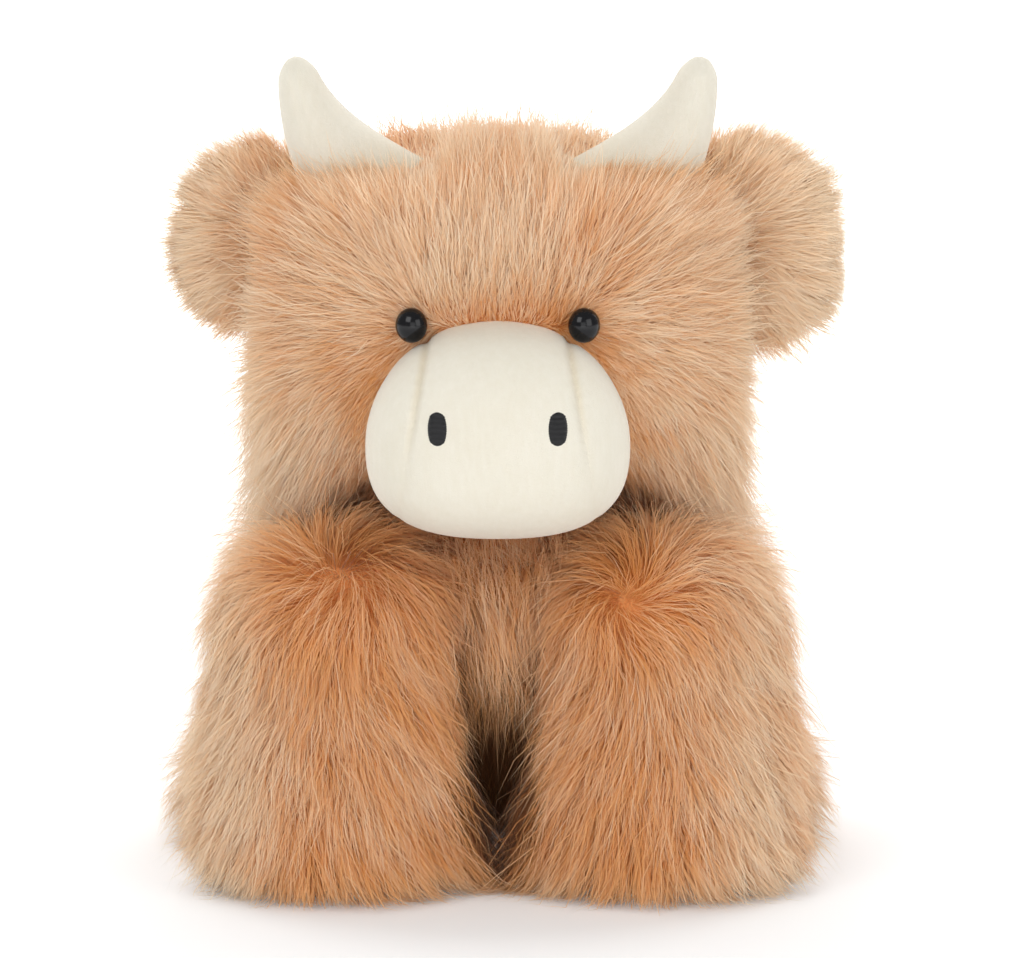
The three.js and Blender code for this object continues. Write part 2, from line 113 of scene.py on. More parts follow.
def linear(red: int, green: int, blue: int) -> tuple[float, float, float, float]:
    """Return a display colour, given in 0 to 255, as a linear colour with alpha.

    Args:
        red: The red channel.
        green: The green channel.
        blue: The blue channel.

    Returns:
        The four linear channels.
    """
    def channel(value: int) -> float:
        """Return one channel's linear value."""
        share = value / 255
        return share / 12.92 if share <= 0.04045 else ((share + 0.055) / 1.055) ** 2.4

    return channel(red), channel(green), channel(blue), 1.0


class Number:
    """A node socket that holds a number and takes part in Python expressions."""

    def __init__(self, shader: "Shader", socket: bpy.types.NodeSocket) -> None:
        """Wrap a socket of a shader."""
        self.shader = shader
        self.socket = socket

    def _math(self, operation: str, first: object, second: object) -> "Number":
        """Add a Math node and return its result."""
        return self.shader.number("ShaderNodeMath", {"operation": operation}, {0: first, 1: second})

    def __add__(self, other: object) -> "Number":
        """Return the sum."""
        return self._math("ADD", self, other)

    __radd__ = __add__

    def __mul__(self, other: object) -> "Number":
        """Return the product."""
        return self._math("MULTIPLY", self, other)

    __rmul__ = __mul__


class Shader:
    """The nodes of one material, or of the world."""

    def __init__(self, owner: bpy.types.Material | bpy.types.World | str) -> None:
        """Start empty, in a new material where a name is given.

        Args:
            owner: The material, its name, or the world.
        """
        self.owner = bpy.data.materials.new(owner) if isinstance(owner, str) else owner
        self.owner.use_nodes = True
        self.tree = self.owner.node_tree
        self.tree.nodes.clear()

    def node(self, kind: str, settings: dict | None = None, inputs: dict | None = None) -> bpy.types.Node:
        """Add a node.

        Args:
            kind: The node's type.
            settings: Its properties; "stops" gives a ramp's positions and colours.
            inputs: Values, sockets or numbers for its sockets, by name or index.

        Returns:
            The node.
        """
        made = self.tree.nodes.new(kind)
        for name, value in (settings or {}).items():
            if name == "stops":
                self._set_stops(made.color_ramp, value)
            else:
                setattr(made, name, value)
        for name, value in (inputs or {}).items():
            if isinstance(value, Number):
                value = value.socket
            if isinstance(value, bpy.types.NodeSocket):
                self.tree.links.new(value, made.inputs[name])
            else:
                made.inputs[name].default_value = value
        return made

    @staticmethod
    def _set_stops(ramp: bpy.types.ColorRamp, stops: list) -> None:
        """Give a ramp its positions and colours.

        Args:
            ramp: The ramp.
            stops: Its positions and colours.
        """
        while len(ramp.elements) < len(stops):
            ramp.elements.new(1.0)
        for element, (position, colour) in zip(ramp.elements, stops):
            element.position = position
            element.color = colour

    def number(
        self, kind: str, settings: dict | None = None, inputs: dict | None = None, output: int | str = 0
    ) -> Number:
        """Add a node and return one of its outputs, the first where none is named, as a number."""
        return Number(self, self.node(kind, settings, inputs).outputs[output])

    def place(self) -> bpy.types.NodeSocket:
        """Return the object's own coordinates."""
        return self.node("ShaderNodeTexCoord").outputs["Object"]

    def noise(self, scale: float, detail: float = 2.0, where: bpy.types.NodeSocket | None = None) -> Number:
        """Add a noise over the object's own coordinates and return its strength."""
        inputs = {"Vector": where or self.place(), "Scale": scale, "Detail": detail}
        return self.number("ShaderNodeTexNoise", {}, inputs)

    def stretched(self, scale: tuple[float, float, float]) -> bpy.types.NodeSocket:
        """Return the object's own coordinates, scaled."""
        return self.node("ShaderNodeMapping", {}, {"Vector": self.place(), "Scale": scale}).outputs[0]

    def ramp(self, factor: object, stops: list) -> bpy.types.NodeSocket:
        """Return a colour that follows a number through a ramp's stops."""
        return self.node("ShaderNodeValToRGB", {"stops": stops}, {"Fac": factor}).outputs[0]

    def mix(self, factor: object, first: object, second: object) -> bpy.types.NodeSocket:
        """Return a mix of two colours."""
        return self.node("ShaderNodeMix", {"data_type": "RGBA"}, {0: factor, 6: first, 7: second}).outputs[2]

    def bump(self, height: object, depth: float) -> bpy.types.NodeSocket:
        """Return a normal bumped by a height, with its depth in millimetres."""
        inputs = {"Height": height, "Distance": depth * MM, "Strength": 1.0}
        return self.node("ShaderNodeBump", {}, inputs).outputs[0]

    def surface(self, settings: dict) -> bpy.types.NodeSocket:
        """Return a principled shader with these inputs."""
        return self.node("ShaderNodeBsdfPrincipled", {}, settings).outputs[0]

    def finish(self, shader: bpy.types.NodeSocket) -> bpy.types.Material | bpy.types.World:
        """Connect the shader to the output and return the owner.

        Args:
            shader: The shader that goes to the output.

        Returns:
            The owner.
        """
        world = isinstance(self.owner, bpy.types.World)
        self.node("ShaderNodeOutputWorld" if world else "ShaderNodeOutputMaterial", {}, {"Surface": shader})
        return self.owner


@dataclass(frozen=True)
class FurFinish:
    """Soft fibre: darker roots, paler tips, a tint that differs from lock to lock, and painted shade where a
    coat's tint is lowered.
    """

    name: str = "long_pile_fur"
    # painted shade: the colours of strands whose tint lies below the open range
    deep: tuple = ((0.0, (80, 40, 20)), (0.5, (108, 64, 38)), (1.0, (136, 88, 56)))
    # the roots' stops of the dark and the light ramps are the fibre's own orange, set bright as painted light
    # for the light that scatters between the hairs into the crevices
    dark: tuple = (
        (0.0, (224, 132, 59)), (0.3, (232, 156, 85)), (0.7, (240, 178, 114)), (1.0, (246, 194, 139)),
    )
    light: tuple = (
        (0.0, (252, 197, 141)), (0.3, (253, 222, 181)), (0.7, (255, 238, 211)), (1.0, (255, 247, 229)),
    )
    painted_shade_tint: float = 0.22  # a strand of a lower tint is painted in shade, with the deep ramp's colours
    palest_tint: float = 0.97
    glow: tuple = (255, 228, 195)
    glow_share: float = 0.33

    def make(self) -> bpy.types.Material:
        """Return the material, which reads tint and height from the strands' own map.

        Returns:
            The material.
        """
        shader = Shader(self.name)
        where = shader.node("ShaderNodeUVMap", {"uv_map": "OFBake"}).outputs[0]
        parts = shader.node("ShaderNodeSeparateXYZ", {}, {0: where})
        tint, height = parts.outputs[0], parts.outputs[1]
        deep, dark, light = (
            shader.ramp(height, [(stop, linear(*colour)) for stop, colour in stops])
            for stops in (self.deep, self.dark, self.light)
        )
        # painted shade: a tint below the open range mixes in the deep ramp
        outside_painted_shade = shader.node("ShaderNodeMapRange", {}, {0: tint, 1: 0.0, 2: self.painted_shade_tint}).outputs[0]
        span = {0: tint, 1: self.painted_shade_tint, 2: self.palest_tint}
        paler = shader.node("ShaderNodeMapRange", {}, span).outputs[0]
        fibre = shader.surface({
            "Base Color": shader.mix(outside_painted_shade, deep, shader.mix(paler, dark, light)),
            "Roughness": 0.66,
            "Specular IOR Level": 0.2,
            "Sheen Weight": 0.15,
            "Sheen Roughness": 0.5,
        })
        glow = shader.node("ShaderNodeBsdfTranslucent", {}, {"Color": linear(*self.glow)}).outputs[0]
        both = shader.node("ShaderNodeMixShader", {}, {0: self.glow_share, 1: fibre, 2: glow}).outputs[0]
        return shader.finish(both)


@dataclass(frozen=True)
class BackingFinish:
    """The knitted backing between the roots, shaded by the fur over it."""

    name: str = "fur_backing"
    deep: tuple = (206, 122, 64)
    raised: tuple = (236, 168, 108)

    def make(self) -> bpy.types.Material:
        """Return the material, with fine vertical streaks and a knitted bump.

        Returns:
            The material.
        """
        shader = Shader(self.name)
        streaks = shader.noise(60.0, 4.0, shader.stretched((9.0, 9.0, 2.5)))
        knit = shader.noise(900.0)
        colour = shader.mix(streaks, linear(*self.deep), linear(*self.raised))
        return shader.finish(shader.surface({
            "Base Color": colour,
            "Roughness": 0.95,
            "Specular IOR Level": 0.1,
            "Sheen Weight": 0.2,
            "Normal": shader.bump(knit * 0.4 + streaks * 0.6, 0.8),
        }))


@dataclass(frozen=True)
class VelourFinish:
    """Short cream velour: an even nap with faint brushed streaks."""

    name: str = "cream_velour"
    shade: tuple = (229, 222, 203)
    light: tuple = (242, 238, 226)
    speck: tuple = (206, 194, 168)
    # the colour that the darkening attribute mixes in
    fold: tuple = (208, 188, 148)
    streak_scale: tuple = (90.0, 90.0, 22.0)

    def make(self) -> bpy.types.Material:
        """Return the material, which darkens where the mesh's own crease attribute says.

        Returns:
            The material.
        """
        shader = Shader(self.name)
        nap = shader.noise(2600.0, 3.0)
        brushed = shader.noise(6.0, 5.0, shader.stretched(self.streak_scale))
        patches = shader.noise(38.0, 2.0)
        cloth = shader.mix(brushed * 0.55 + patches * 0.45, linear(*self.shade), linear(*self.light))
        speckled = shader.mix(nap * 0.10, cloth, linear(*self.speck))
        crease = shader.number("ShaderNodeAttribute", {"attribute_name": DARKENING}, output="Fac")
        return shader.finish(shader.surface({
            "Base Color": shader.mix(crease * 0.5, speckled, linear(*self.fold)),
            "Roughness": 0.92,
            "Specular IOR Level": 0.15,
            "Sheen Weight": 0.3,
            "Sheen Roughness": 0.45,
            "Normal": shader.bump(nap * 0.7 + brushed * 0.3, 0.25),
        }))


@dataclass(frozen=True)
class ThreadFinish:
    """Satin stitch: fine parallel threads with a dull shine."""

    name: str = "black_thread"
    colour: tuple = (15, 15, 17)
    raised: tuple = (32, 31, 34)
    thread_scale: float = 180.0

    def make(self) -> bpy.types.Material:
        """Return the material, whose threads run across the oval.

        Returns:
            The material.
        """
        shader = Shader(self.name)
        where = shader.stretched((0.25, 0.25, 1.0))
        threads = shader.number("ShaderNodeTexWave", {"bands_direction": "Z"}, {
            "Vector": where, "Scale": self.thread_scale, "Distortion": 1.6, "Detail": 2.0,
            "Detail Scale": 1.5,
        })
        fibres = shader.noise(2400.0, 3.0, where)
        colour = shader.mix(threads * fibres, linear(*self.colour), linear(*self.raised))
        return shader.finish(shader.surface({
            "Base Color": colour,
            "Roughness": 0.55,
            "Specular IOR Level": 0.35,
            "Sheen Weight": 0.15,
            "Normal": shader.bump(threads * 0.8 + fibres * 0.2, 0.28),
        }))


@dataclass(frozen=True)
class BeadFinish:
    """Polished black plastic with a trace of dust and fine rubbing."""

    name: str = "black_bead"
    colour: tuple = (9, 9, 12)
    dust: tuple = (30, 29, 35)

    def make(self) -> bpy.types.Material:
        """Return the material, whose gloss varies slightly.

        Returns:
            The material.
        """
        shader = Shader(self.name)
        rubbed = shader.noise(420.0, 4.0)
        return shader.finish(shader.surface({
            "Base Color": shader.mix(rubbed * 0.25, linear(*self.colour), linear(*self.dust)),
            "Roughness": rubbed * 0.10 + 0.09,
            "Specular IOR Level": 0.3,
            "Normal": shader.bump(rubbed, 0.02),
        }))


@dataclass(frozen=True)
class FloorFinish:
    """A white sweep that keeps a soft shadow."""

    name: str = "white_floor"
    paint: float = 0.90
    lift: float = 0.16  # how much the floor shines by itself beside the toy
    shadow_reach: tuple = (0.35, 1.2)  # metres from the middle over which it grows fully white

    def make(self) -> bpy.types.Material:
        """Return the material, which the camera sees as near white where it is lit.

        Returns:
            The material.
        """
        shader = Shader(self.name)
        paint = (self.paint, self.paint, self.paint, 1)
        matt = shader.surface({"Base Color": paint, "Roughness": 1.0, "Specular IOR Level": 0.0})
        rays = shader.node("ShaderNodeLightPath")
        seen = Number(shader, rays.outputs["Is Camera Ray"]) + Number(shader, rays.outputs["Is Glossy Ray"])
        length = {"operation": "LENGTH"}
        reach = shader.number("ShaderNodeVectorMath", length, {0: shader.place()}, output="Value")
        near, edge = self.shadow_reach
        far = shader.number("ShaderNodeMapRange", {}, {0: reach, 1: near, 2: edge, 3: self.lift, 4: 1.0})
        white = shader.node("ShaderNodeEmission", {}, {"Color": (1, 1, 1, 1), "Strength": seen * far})
        both = shader.node("ShaderNodeAddShader", {}, {0: matt, 1: white.outputs[0]}).outputs[0]
        return shader.finish(both)


# Meshes


def placed(name: str, mesh: bpy.types.Mesh, material: bpy.types.Material) -> bpy.types.Object:
    """Put a mesh in metres into the scene as a smooth piece.

    Args:
        name: The piece's name.
        mesh: Its mesh.
        material: Its one material.

    Returns:
        The object, at the origin.
    """
    mesh.materials.append(material)
    mesh.shade_smooth()
    piece = bpy.data.objects.new(name, mesh)
    bpy.context.scene.collection.objects.link(piece)
    return piece


def piece_of(name: str, bm: bmesh.types.BMesh, material: bpy.types.Material) -> bpy.types.Object:
    """Turn a bmesh in millimetres into a smooth piece.

    Args:
        name: The piece's name.
        bm: The mesh, which is freed.
        material: Its one material.

    Returns:
        The object, at the origin and in metres.
    """
    bmesh.ops.scale(bm, vec=(MM, MM, MM), verts=bm.verts)
    bmesh.ops.recalc_face_normals(bm, faces=bm.faces)
    mesh = bpy.data.meshes.new(name)
    bm.to_mesh(mesh)
    bm.free()
    return placed(name, mesh, material)


def coordinates(bm: bmesh.types.BMesh) -> Array:
    """Return the places of a bmesh's vertices."""
    return np.array([vert.co[:] for vert in bm.verts])


def move_to(bm: bmesh.types.BMesh, points: Array) -> None:
    """Put a bmesh's vertices at these places."""
    for vert, point in zip(bm.verts, points):
        vert.co = point


def darken(bm: bmesh.types.BMesh, shares: Array) -> None:
    """Store at each vertex how much the velour is darkened there.

    Args:
        bm: The mesh.
        shares: A share for each vertex.
    """
    layer = bm.verts.layers.float.new(DARKENING)
    for vert, share in zip(bm.verts, shares):
        vert[layer] = float(share)


def axes(places: Array) -> tuple[Array, Array, Array, Array]:
    """Return the X, the distance from the middle plane, the Y and the Z of places."""
    x, y, z = places.T
    return x, np.abs(x), y, z


def sphere_of(columns: int, rows: int, radius: float = 1.0) -> bmesh.types.BMesh:
    """Make a ball whose points and faces come in one fixed order.

    The operator lists its faces in an order that changes from run to run, and the hairs
    are drawn by face, so the ball is built anew with its points and faces sorted.

    Args:
        columns: Faces round it.
        rows: Faces from its bottom pole to its top pole.
        radius: Its radius.

    Returns:
        The ball round the origin.
    """
    made = bmesh.new()
    bmesh.ops.create_uvsphere(made, u_segments=columns, v_segments=rows, radius=radius)
    made.verts.index_update()
    places = coordinates(made)
    order = np.lexsort(np.round(places / radius, 5).T)
    rank = np.argsort(order)
    faces = []
    for face in made.faces:
        corners = [int(rank[vert.index]) for vert in face.verts]
        start = corners.index(min(corners))
        faces.append(corners[start:] + corners[:start])
    made.free()
    bm = bmesh.new()
    verts = [bm.verts.new(place) for place in places[order]]
    for corners in sorted(faces):
        bm.faces.new([verts[corner] for corner in corners])
    bm.verts.index_update()
    return bm


@dataclass(frozen=True)
class Form:
    """A rounded form made of rings, as the part's own solids are."""

    bottom: float
    waist: float
    top: float
    place: Place
    lower: float = 1.0
    upper: float = 1.0

    def ball(self, columns: int, rows: int) -> bmesh.types.BMesh:
        """Make the closed form.

        Args:
            columns: Faces round it.
            rows: Faces from its bottom pole to its top pole.

        Returns:
            The mesh in millimetres.
        """
        bm = sphere_of(columns, rows)
        move_to(bm, self.points(coordinates(bm)))
        return bm

    def points(self, sphere: Array) -> Array:
        """Return where the points of a unit sphere lie on the form.

        Args:
            sphere: The sphere's points.

        Returns:
            The places, one row each.
        """
        sine = np.clip(sphere[:, 2], -1.0, 1.0)
        cosine = np.sqrt(np.maximum(1.0 - sine**2, 0.0))
        above = sine >= 0
        rounding = np.where(above, self.upper, self.lower)
        reach = np.where(above, self.top - self.waist, self.bottom - self.waist)
        height = self.waist + reach * np.abs(sine) ** rounding
        angle = np.arctan2(sphere[:, 1], sphere[:, 0])
        return self.place(cosine**rounding, angle, height)


def share_at(height: Array, centre: float, reach: float, rounding: float) -> Array:
    """Return a form's share of its full width at a height between its waist and a pole."""
    rise = np.clip(np.abs((height - centre) / reach), 0.0, 1.0)
    return (1.0 - rise ** (2.0 / rounding)) ** (rounding / 2.0)


def pulled_out(points: Array, centre: Array, inside: Callable[[Array], Array]) -> Array:
    """Draw the points that lie inside another form back towards a centre, to its surface.

    Args:
        points: The points of a backing.
        centre: A spot well inside the backing, for each point or for all.
        inside: Tells which points lie inside the other form.

    Returns:
        The points, outside the other form.
    """
    low = np.zeros(len(points))
    high = np.ones(len(points))
    within = inside(points)
    for _ in range(14):
        middle = (low + high) / 2
        hit = inside(centre + (points - centre) * middle[:, None])
        high = np.where(hit, middle, high)
        low = np.where(hit, low, middle)
    share = np.where(within, low, 1.0)
    return centre + (points - centre) * share[:, None]


# Fur


@dataclass(frozen=True)
class Groom:
    """How one coat of fur is cut and brushed. Lengths are millimetres and angles are degrees."""

    comb: Comb
    strands: int
    length: float = 25.0
    trim: Field | None = None
    density: Field | None = None
    # paleness gives the tint, which on some coats also carries painted light; shade lowers it as painted
    # shade
    paleness: Field | None = None
    shade: Field | None = None
    lift: float = 48.0
    tip_lift: float = 8.0
    sag: float = 0.25
    rise: Field | None = None
    hang: Field | None = None
    width: float = 0.26
    lock_size: float = 9.0
    tuft_size: float = 2.5
    lock_pull: float = 0.26
    tuft_pull: float = 0.36
    stray: float = 9.0
    curl: float = 0.045
    seed: int = 1


class Fur:
    """Grows strands of fibre on a backing, each a thin tapering ribbon."""

    STEPS = 4  # the points of a hair, from its root to its tip
    WIDTHS = np.array([0.9, 1.0, 0.72])  # shares of a ribbon's full width, from its root on
    LEAST_RISE = 0.08  # the least sine of the angle between a hair and the backing
    SAME_SIDE = 0.2  # the least agreement of two normals on one side of the backing
    UPRIGHT = 0.5  # how far the comb leans off the backing before the hair lies down fully
    GUIDES = 2600  # the most guide hairs of a coat
    UNDERWOOL, UNDERWOOL_CUT = 0.28, 0.62  # the share of short hairs, and their length
    LOOSE, LOOSE_CUT = 0.16, 1.14  # the share of hairs that leave their lock, and their length
    LOOSE_PULL, LOOSE_JITTER = 0.1, 2.2  # how much they follow it, and stray from it
    JITTER = 0.075  # how far the tips of the others stray, as a share of their length
    CUT_CURVE, CUT_SPAN, LEAST_CUT, MOST_CUT = (5.0, 2.2), 0.62, 0.48, 1.06  # how lengths differ
    TUFT_PULLS = (0.6, 1.15)  # how much less or more a hair follows its tuft
    BUNCHING = 1.3  # how late along a hair the bunches close
    ROUNDED = 0.7  # a backing's area as a share of its box's
    FLOOR, FLOOR_SPREAD = 0.35, 1.2  # no hair comes nearer to the floor, and how much they differ
    WIDEST, FOREMOST, HINDMOST = 117.0, -139.5, 106.0  # no hair reaches further out
    TINTS = (0.22, 0.97)  # the darkest and the palest hair outside the painted shade
    PATCHES = ((11.0, 0.16), (30.0, 0.10))  # the sizes of the patches of tint, and their strengths
    TINT_SPREAD, UNDERWOOL_TINT, LOOSE_TINT = 0.16, -0.18, 0.14
    ROLL, MOST_ROLL = 0.42, 1.2  # how far the ribbons turn about their length, in radians
    WIDTH_SPREAD = (0.65, 1.25)
    SOFTNESS = 0.65  # how much the backing's normals soften the ribbons' shading

    def __init__(self, backing: bpy.types.Object, groom: Groom) -> None:
        """Read the backing's faces.

        Args:
            backing: The piece that it grows on.
            groom: How the coat is cut and brushed.
        """
        self.groom = groom
        self.random = np.random.default_rng(groom.seed)
        mesh = backing.data
        mesh.calc_loop_triangles()
        points = np.empty(len(mesh.vertices) * 3)
        mesh.vertices.foreach_get("co", points)
        normals = np.empty(len(mesh.vertices) * 3)
        mesh.vertices.foreach_get("normal", normals)
        corners = np.empty(len(mesh.loop_triangles) * 3, dtype=np.int64)
        mesh.loop_triangles.foreach_get("vertices", corners)
        self.points = points.reshape(-1, 3) / MM
        self.normals = normals.reshape(-1, 3)
        self.corners = corners.reshape(-1, 3)
        self.tree = BVHTree.FromPolygons(self.points.tolist(), self.corners.tolist())

    def _roots(self, count: int) -> tuple[Array, Array]:
        """Return random places on the backing and their normals, as dense as the groom says.

        Args:
            count: How many.

        Returns:
            The roots and their normals.
        """
        a, b, c = (self.points[self.corners[:, i]] for i in range(3))
        area = np.linalg.norm(np.cross(b - a, c - a), axis=1) / 2
        if self.groom.density is not None:
            area = area * self.groom.density((a + b + c) / 3)
        chosen = self.random.choice(len(area), size=count, p=area / area.sum())
        first = np.sqrt(self.random.random(count))
        second = self.random.random(count)
        weights = np.stack([1 - first, first * (1 - second), first * second], axis=1)
        corners = self.corners[chosen]
        roots = np.einsum("nk,nkd->nd", weights, self.points[corners])
        normals = unit(np.einsum("nk,nkd->nd", weights, self.normals[corners]))
        return roots, normals

    def _guides(self, roots: Array, normals: Array) -> Array:
        """Return how guide hairs run, as offsets from their roots at each step.

        Args:
            roots: The strands' roots.
            normals: The backing's normals there.

        Returns:
            The offsets of each hair's points.
        """
        groom = self.groom
        count = len(roots)
        length = self._lengths(roots)
        raised = np.zeros(count) if groom.rise is None else groom.rise(roots)
        raised = np.radians(raised)[:, None]
        turn = self.random.normal(0.0, math.radians(groom.stray), (count, 1))
        lean = self.random.normal(0.0, math.radians(groom.stray * 0.6), (count, 1))
        place, normal = roots.copy(), normals.copy()
        path = [roots.copy()]
        for step in range(1, self.STEPS):
            share = (step - 0.5) / (self.STEPS - 1)
            wanted = unit(groom.comb(place, normal))
            along = wanted - normal * np.sum(wanted * normal, axis=1, keepdims=True)
            laid = np.minimum(np.linalg.norm(along, axis=1, keepdims=True) / self.UPRIGHT, 1.0)
            along = unit(along)
            across = np.cross(normal, along)
            along = along * np.cos(turn) + across * np.sin(turn)
            up = math.radians(groom.lift + (groom.tip_lift - groom.lift) * share**0.7) + lean + raised
            heading = along * np.cos(up) * laid + normal * np.sin(up)
            heading = unit(heading - np.array([0.0, 0.0, groom.sag * share]))
            if groom.hang is not None:
                pull = groom.hang(place)
                heading = unit(heading * (1.0 - np.linalg.norm(pull, axis=1, keepdims=True)) + pull)
            steep = np.sum(heading * normal, axis=1, keepdims=True)
            heading = unit(heading + normal * np.maximum(self.LEAST_RISE - steep, 0.0))
            place = place + heading * (length / (self.STEPS - 1))[:, None]
            path.append(place.copy())
            normal = self._nearest_normals(place, normal)
        return np.stack(path, axis=1) - roots[:, None, :]

    def _nearest_normals(self, places: Array, normals: Array) -> Array:
        """Return the backing's normals under these places.

        Args:
            places: Places in the part's frame.
            normals: The normals that the hairs have kept so far.

        Returns:
            The normals, one row each.
        """
        found = []
        for place, normal in zip(places, normals):
            hit = self.tree.find_nearest(place)
            fits = hit[1] is not None and hit[1].dot(Vector(normal)) > self.SAME_SIDE
            found.append(hit[1][:] if fits else normal)
        return np.array(found)

    def _lengths(self, roots: Array) -> Array:
        """Return the trimmed length of the fur at these roots.

        Args:
            roots: The strands' roots.

        Returns:
            The lengths.
        """
        length = np.full(len(roots), self.groom.length)
        if self.groom.trim is not None:
            length = length * self.groom.trim(roots)
        return length

    @staticmethod
    def _nearest(places: Array, normals: Array, among: Array, their_normals: Array, count: int) -> tuple:
        """Find the closest of some roots for each place, with weights that favour the same side.

        Args:
            places: Places in the part's frame.
            normals: The backing's normals there.
            among: The roots to choose from.
            their_normals: The normals at those.
            count: How many.

        Returns:
            Their indices and weights, a row for each place.
        """
        tree = KDTree(len(among))
        for index, point in enumerate(among):
            tree.insert(point, index)
        tree.balance()
        indices = np.empty((len(places), count), dtype=np.int64)
        gaps = np.empty((len(places), count))
        for row, place in enumerate(places):
            for column, (_, index, gap) in enumerate(tree.find_n(place, count)):
                indices[row, column] = index
                gaps[row, column] = gap
        agree = np.einsum("nd,nkd->nk", normals, their_normals[indices])
        weights = np.clip(agree, 0.02, 1.0) ** 3 / (gaps + 0.5)
        return indices, weights / weights.sum(axis=1, keepdims=True)

    def _bunched(self, places: Array, normals: Array, paths: Array, size: float, pull: Array) -> Array:
        """Draw strands together into bunches that share a tip.

        Args:
            places: The strands' roots.
            normals: The normals at their roots.
            paths: Their points, root first.
            size: How far apart the bunches are.
            pull: How much each strand follows its bunch, from 0 to 1.

        Returns:
            The new points.
        """
        spread = self.points.max(axis=0) - self.points.min(axis=0)
        box = 2.0 * (spread[0] * spread[1] + spread[1] * spread[2] + spread[0] * spread[2])
        area = box * self.ROUNDED
        count = int(np.clip(area / size**2, 8, len(places) / 4))
        leaders = self.random.choice(len(places), size=count, replace=False)
        among, their_normals = places[leaders], normals[leaders]
        indices, _ = self._nearest(places, normals, among, their_normals, 1)
        leader = leaders[indices[:, 0]]
        share = np.linspace(0.0, 1.0, self.STEPS) ** self.BUNCHING
        amount = pull[:, None] * share[None, :]
        agree = np.sum(normals * normals[leader], axis=1) > 0.3
        amount = np.where(agree[:, None], amount, 0.0)[:, :, None]
        return paths * (1 - amount) + paths[leader] * amount

    def grow(self, name: str, material: bpy.types.Material) -> bpy.types.Object:
        """Grow the coat.

        Args:
            name: The piece's name.
            material: The fibre's material.

        Returns:
            The piece.
        """
        groom = self.groom
        count = groom.strands
        guide_roots, guide_normals = self._roots(min(self.GUIDES, max(count // 8, 40)))
        guides = self._guides(guide_roots, guide_normals)
        roots, normals = self._roots(count)
        indices, weights = self._nearest(roots, normals, guide_roots, guide_normals, 3)
        offsets = np.einsum("nk,nksd->nsd", weights, guides[indices])
        cut = self.random.beta(*self.CUT_CURVE, count) * self.CUT_SPAN + self.LEAST_CUT
        under = self.random.random(count) < self.UNDERWOOL
        cut = np.minimum(np.where(under, cut * self.UNDERWOOL_CUT, cut), self.MOST_CUT)
        offsets = offsets * cut[:, None, None]
        jitter = self.random.normal(0.0, self.JITTER, (count, 1, 3))
        jitter = jitter * np.linspace(0, 1, self.STEPS)[None, :, None]
        reach = np.linalg.norm(offsets[:, -1], axis=1)[:, None, None]
        bends = self.random.normal(0.0, groom.curl, (count, self.STEPS, 3))
        bends[:, 0] = 0.0
        loose = self.random.random(count) < self.LOOSE
        jitter = jitter * np.where(loose, self.LOOSE_JITTER, 1.0)[:, None, None]
        foot = roots[:, None, :]
        paths = foot + offsets + (jitter + bends) * reach
        paths = foot + (paths - foot) * np.where(loose, self.LOOSE_CUT, 1.0)[:, None, None]
        pull = np.where(loose, self.LOOSE_PULL, 1.0)
        tuft = groom.tuft_pull * pull * self.random.uniform(*self.TUFT_PULLS, count)
        paths = self._bunched(roots, normals, paths, groom.tuft_size, np.clip(tuft, 0, 0.95))
        paths = self._bunched(roots, normals, paths, groom.lock_size, groom.lock_pull * pull)
        lowest = self.FLOOR + self.random.random((count, 1)) * self.FLOOR_SPREAD
        paths[:, :, 2] = np.maximum(paths[:, :, 2], lowest)
        paths[:, :, 0] = np.clip(paths[:, :, 0], -self.WIDEST, self.WIDEST)
        paths[:, :, 1] = np.clip(paths[:, :, 1], self.FOREMOST, self.HINDMOST)
        tint = self._tints(roots, under, loose)
        return self._ribbons(name, paths, normals, tint, material)

    def _tints(self, roots: Array, under: Array, loose: Array) -> Array:
        """Return each strand's tint, from 0, dark, to 1, pale.

        Args:
            roots: The strands' roots.
            under: Which strands are underwool.
            loose: Which strands leave their lock.

        Returns:
            The tints.
        """
        count = len(roots)
        pale = np.full(count, 0.5)
        if self.groom.paleness is not None:
            pale = self.groom.paleness(roots)
        wander = sum(self._patches(roots, size) * strength for size, strength in self.PATCHES)
        tint = pale + wander + self.random.normal(0.0, self.TINT_SPREAD, count)
        tint = np.where(under, tint + self.UNDERWOOL_TINT, tint)
        tint = np.clip(np.where(loose, tint + self.LOOSE_TINT, tint), *self.TINTS)
        # painted shade lowers the tint below the least of TINTS, towards the deep ramp
        if self.groom.shade is not None:
            tint = np.maximum(tint - self.groom.shade(roots), 0.0)
        return tint

    def _patches(self, points: Array, size: float) -> Array:
        """Return a soft pattern of patches of about this size, from -1 to 1.

        Args:
            points: The points.
            size: How large the patches are, in millimetres.

        Returns:
            The pattern's value at each point.
        """
        waves = self.random.normal(0.0, 1.0, (5, 3)) / size * 2.2
        phases = self.random.random(5) * 2 * math.pi
        return np.sin(points @ waves.T + phases).sum(axis=1) / 2.6

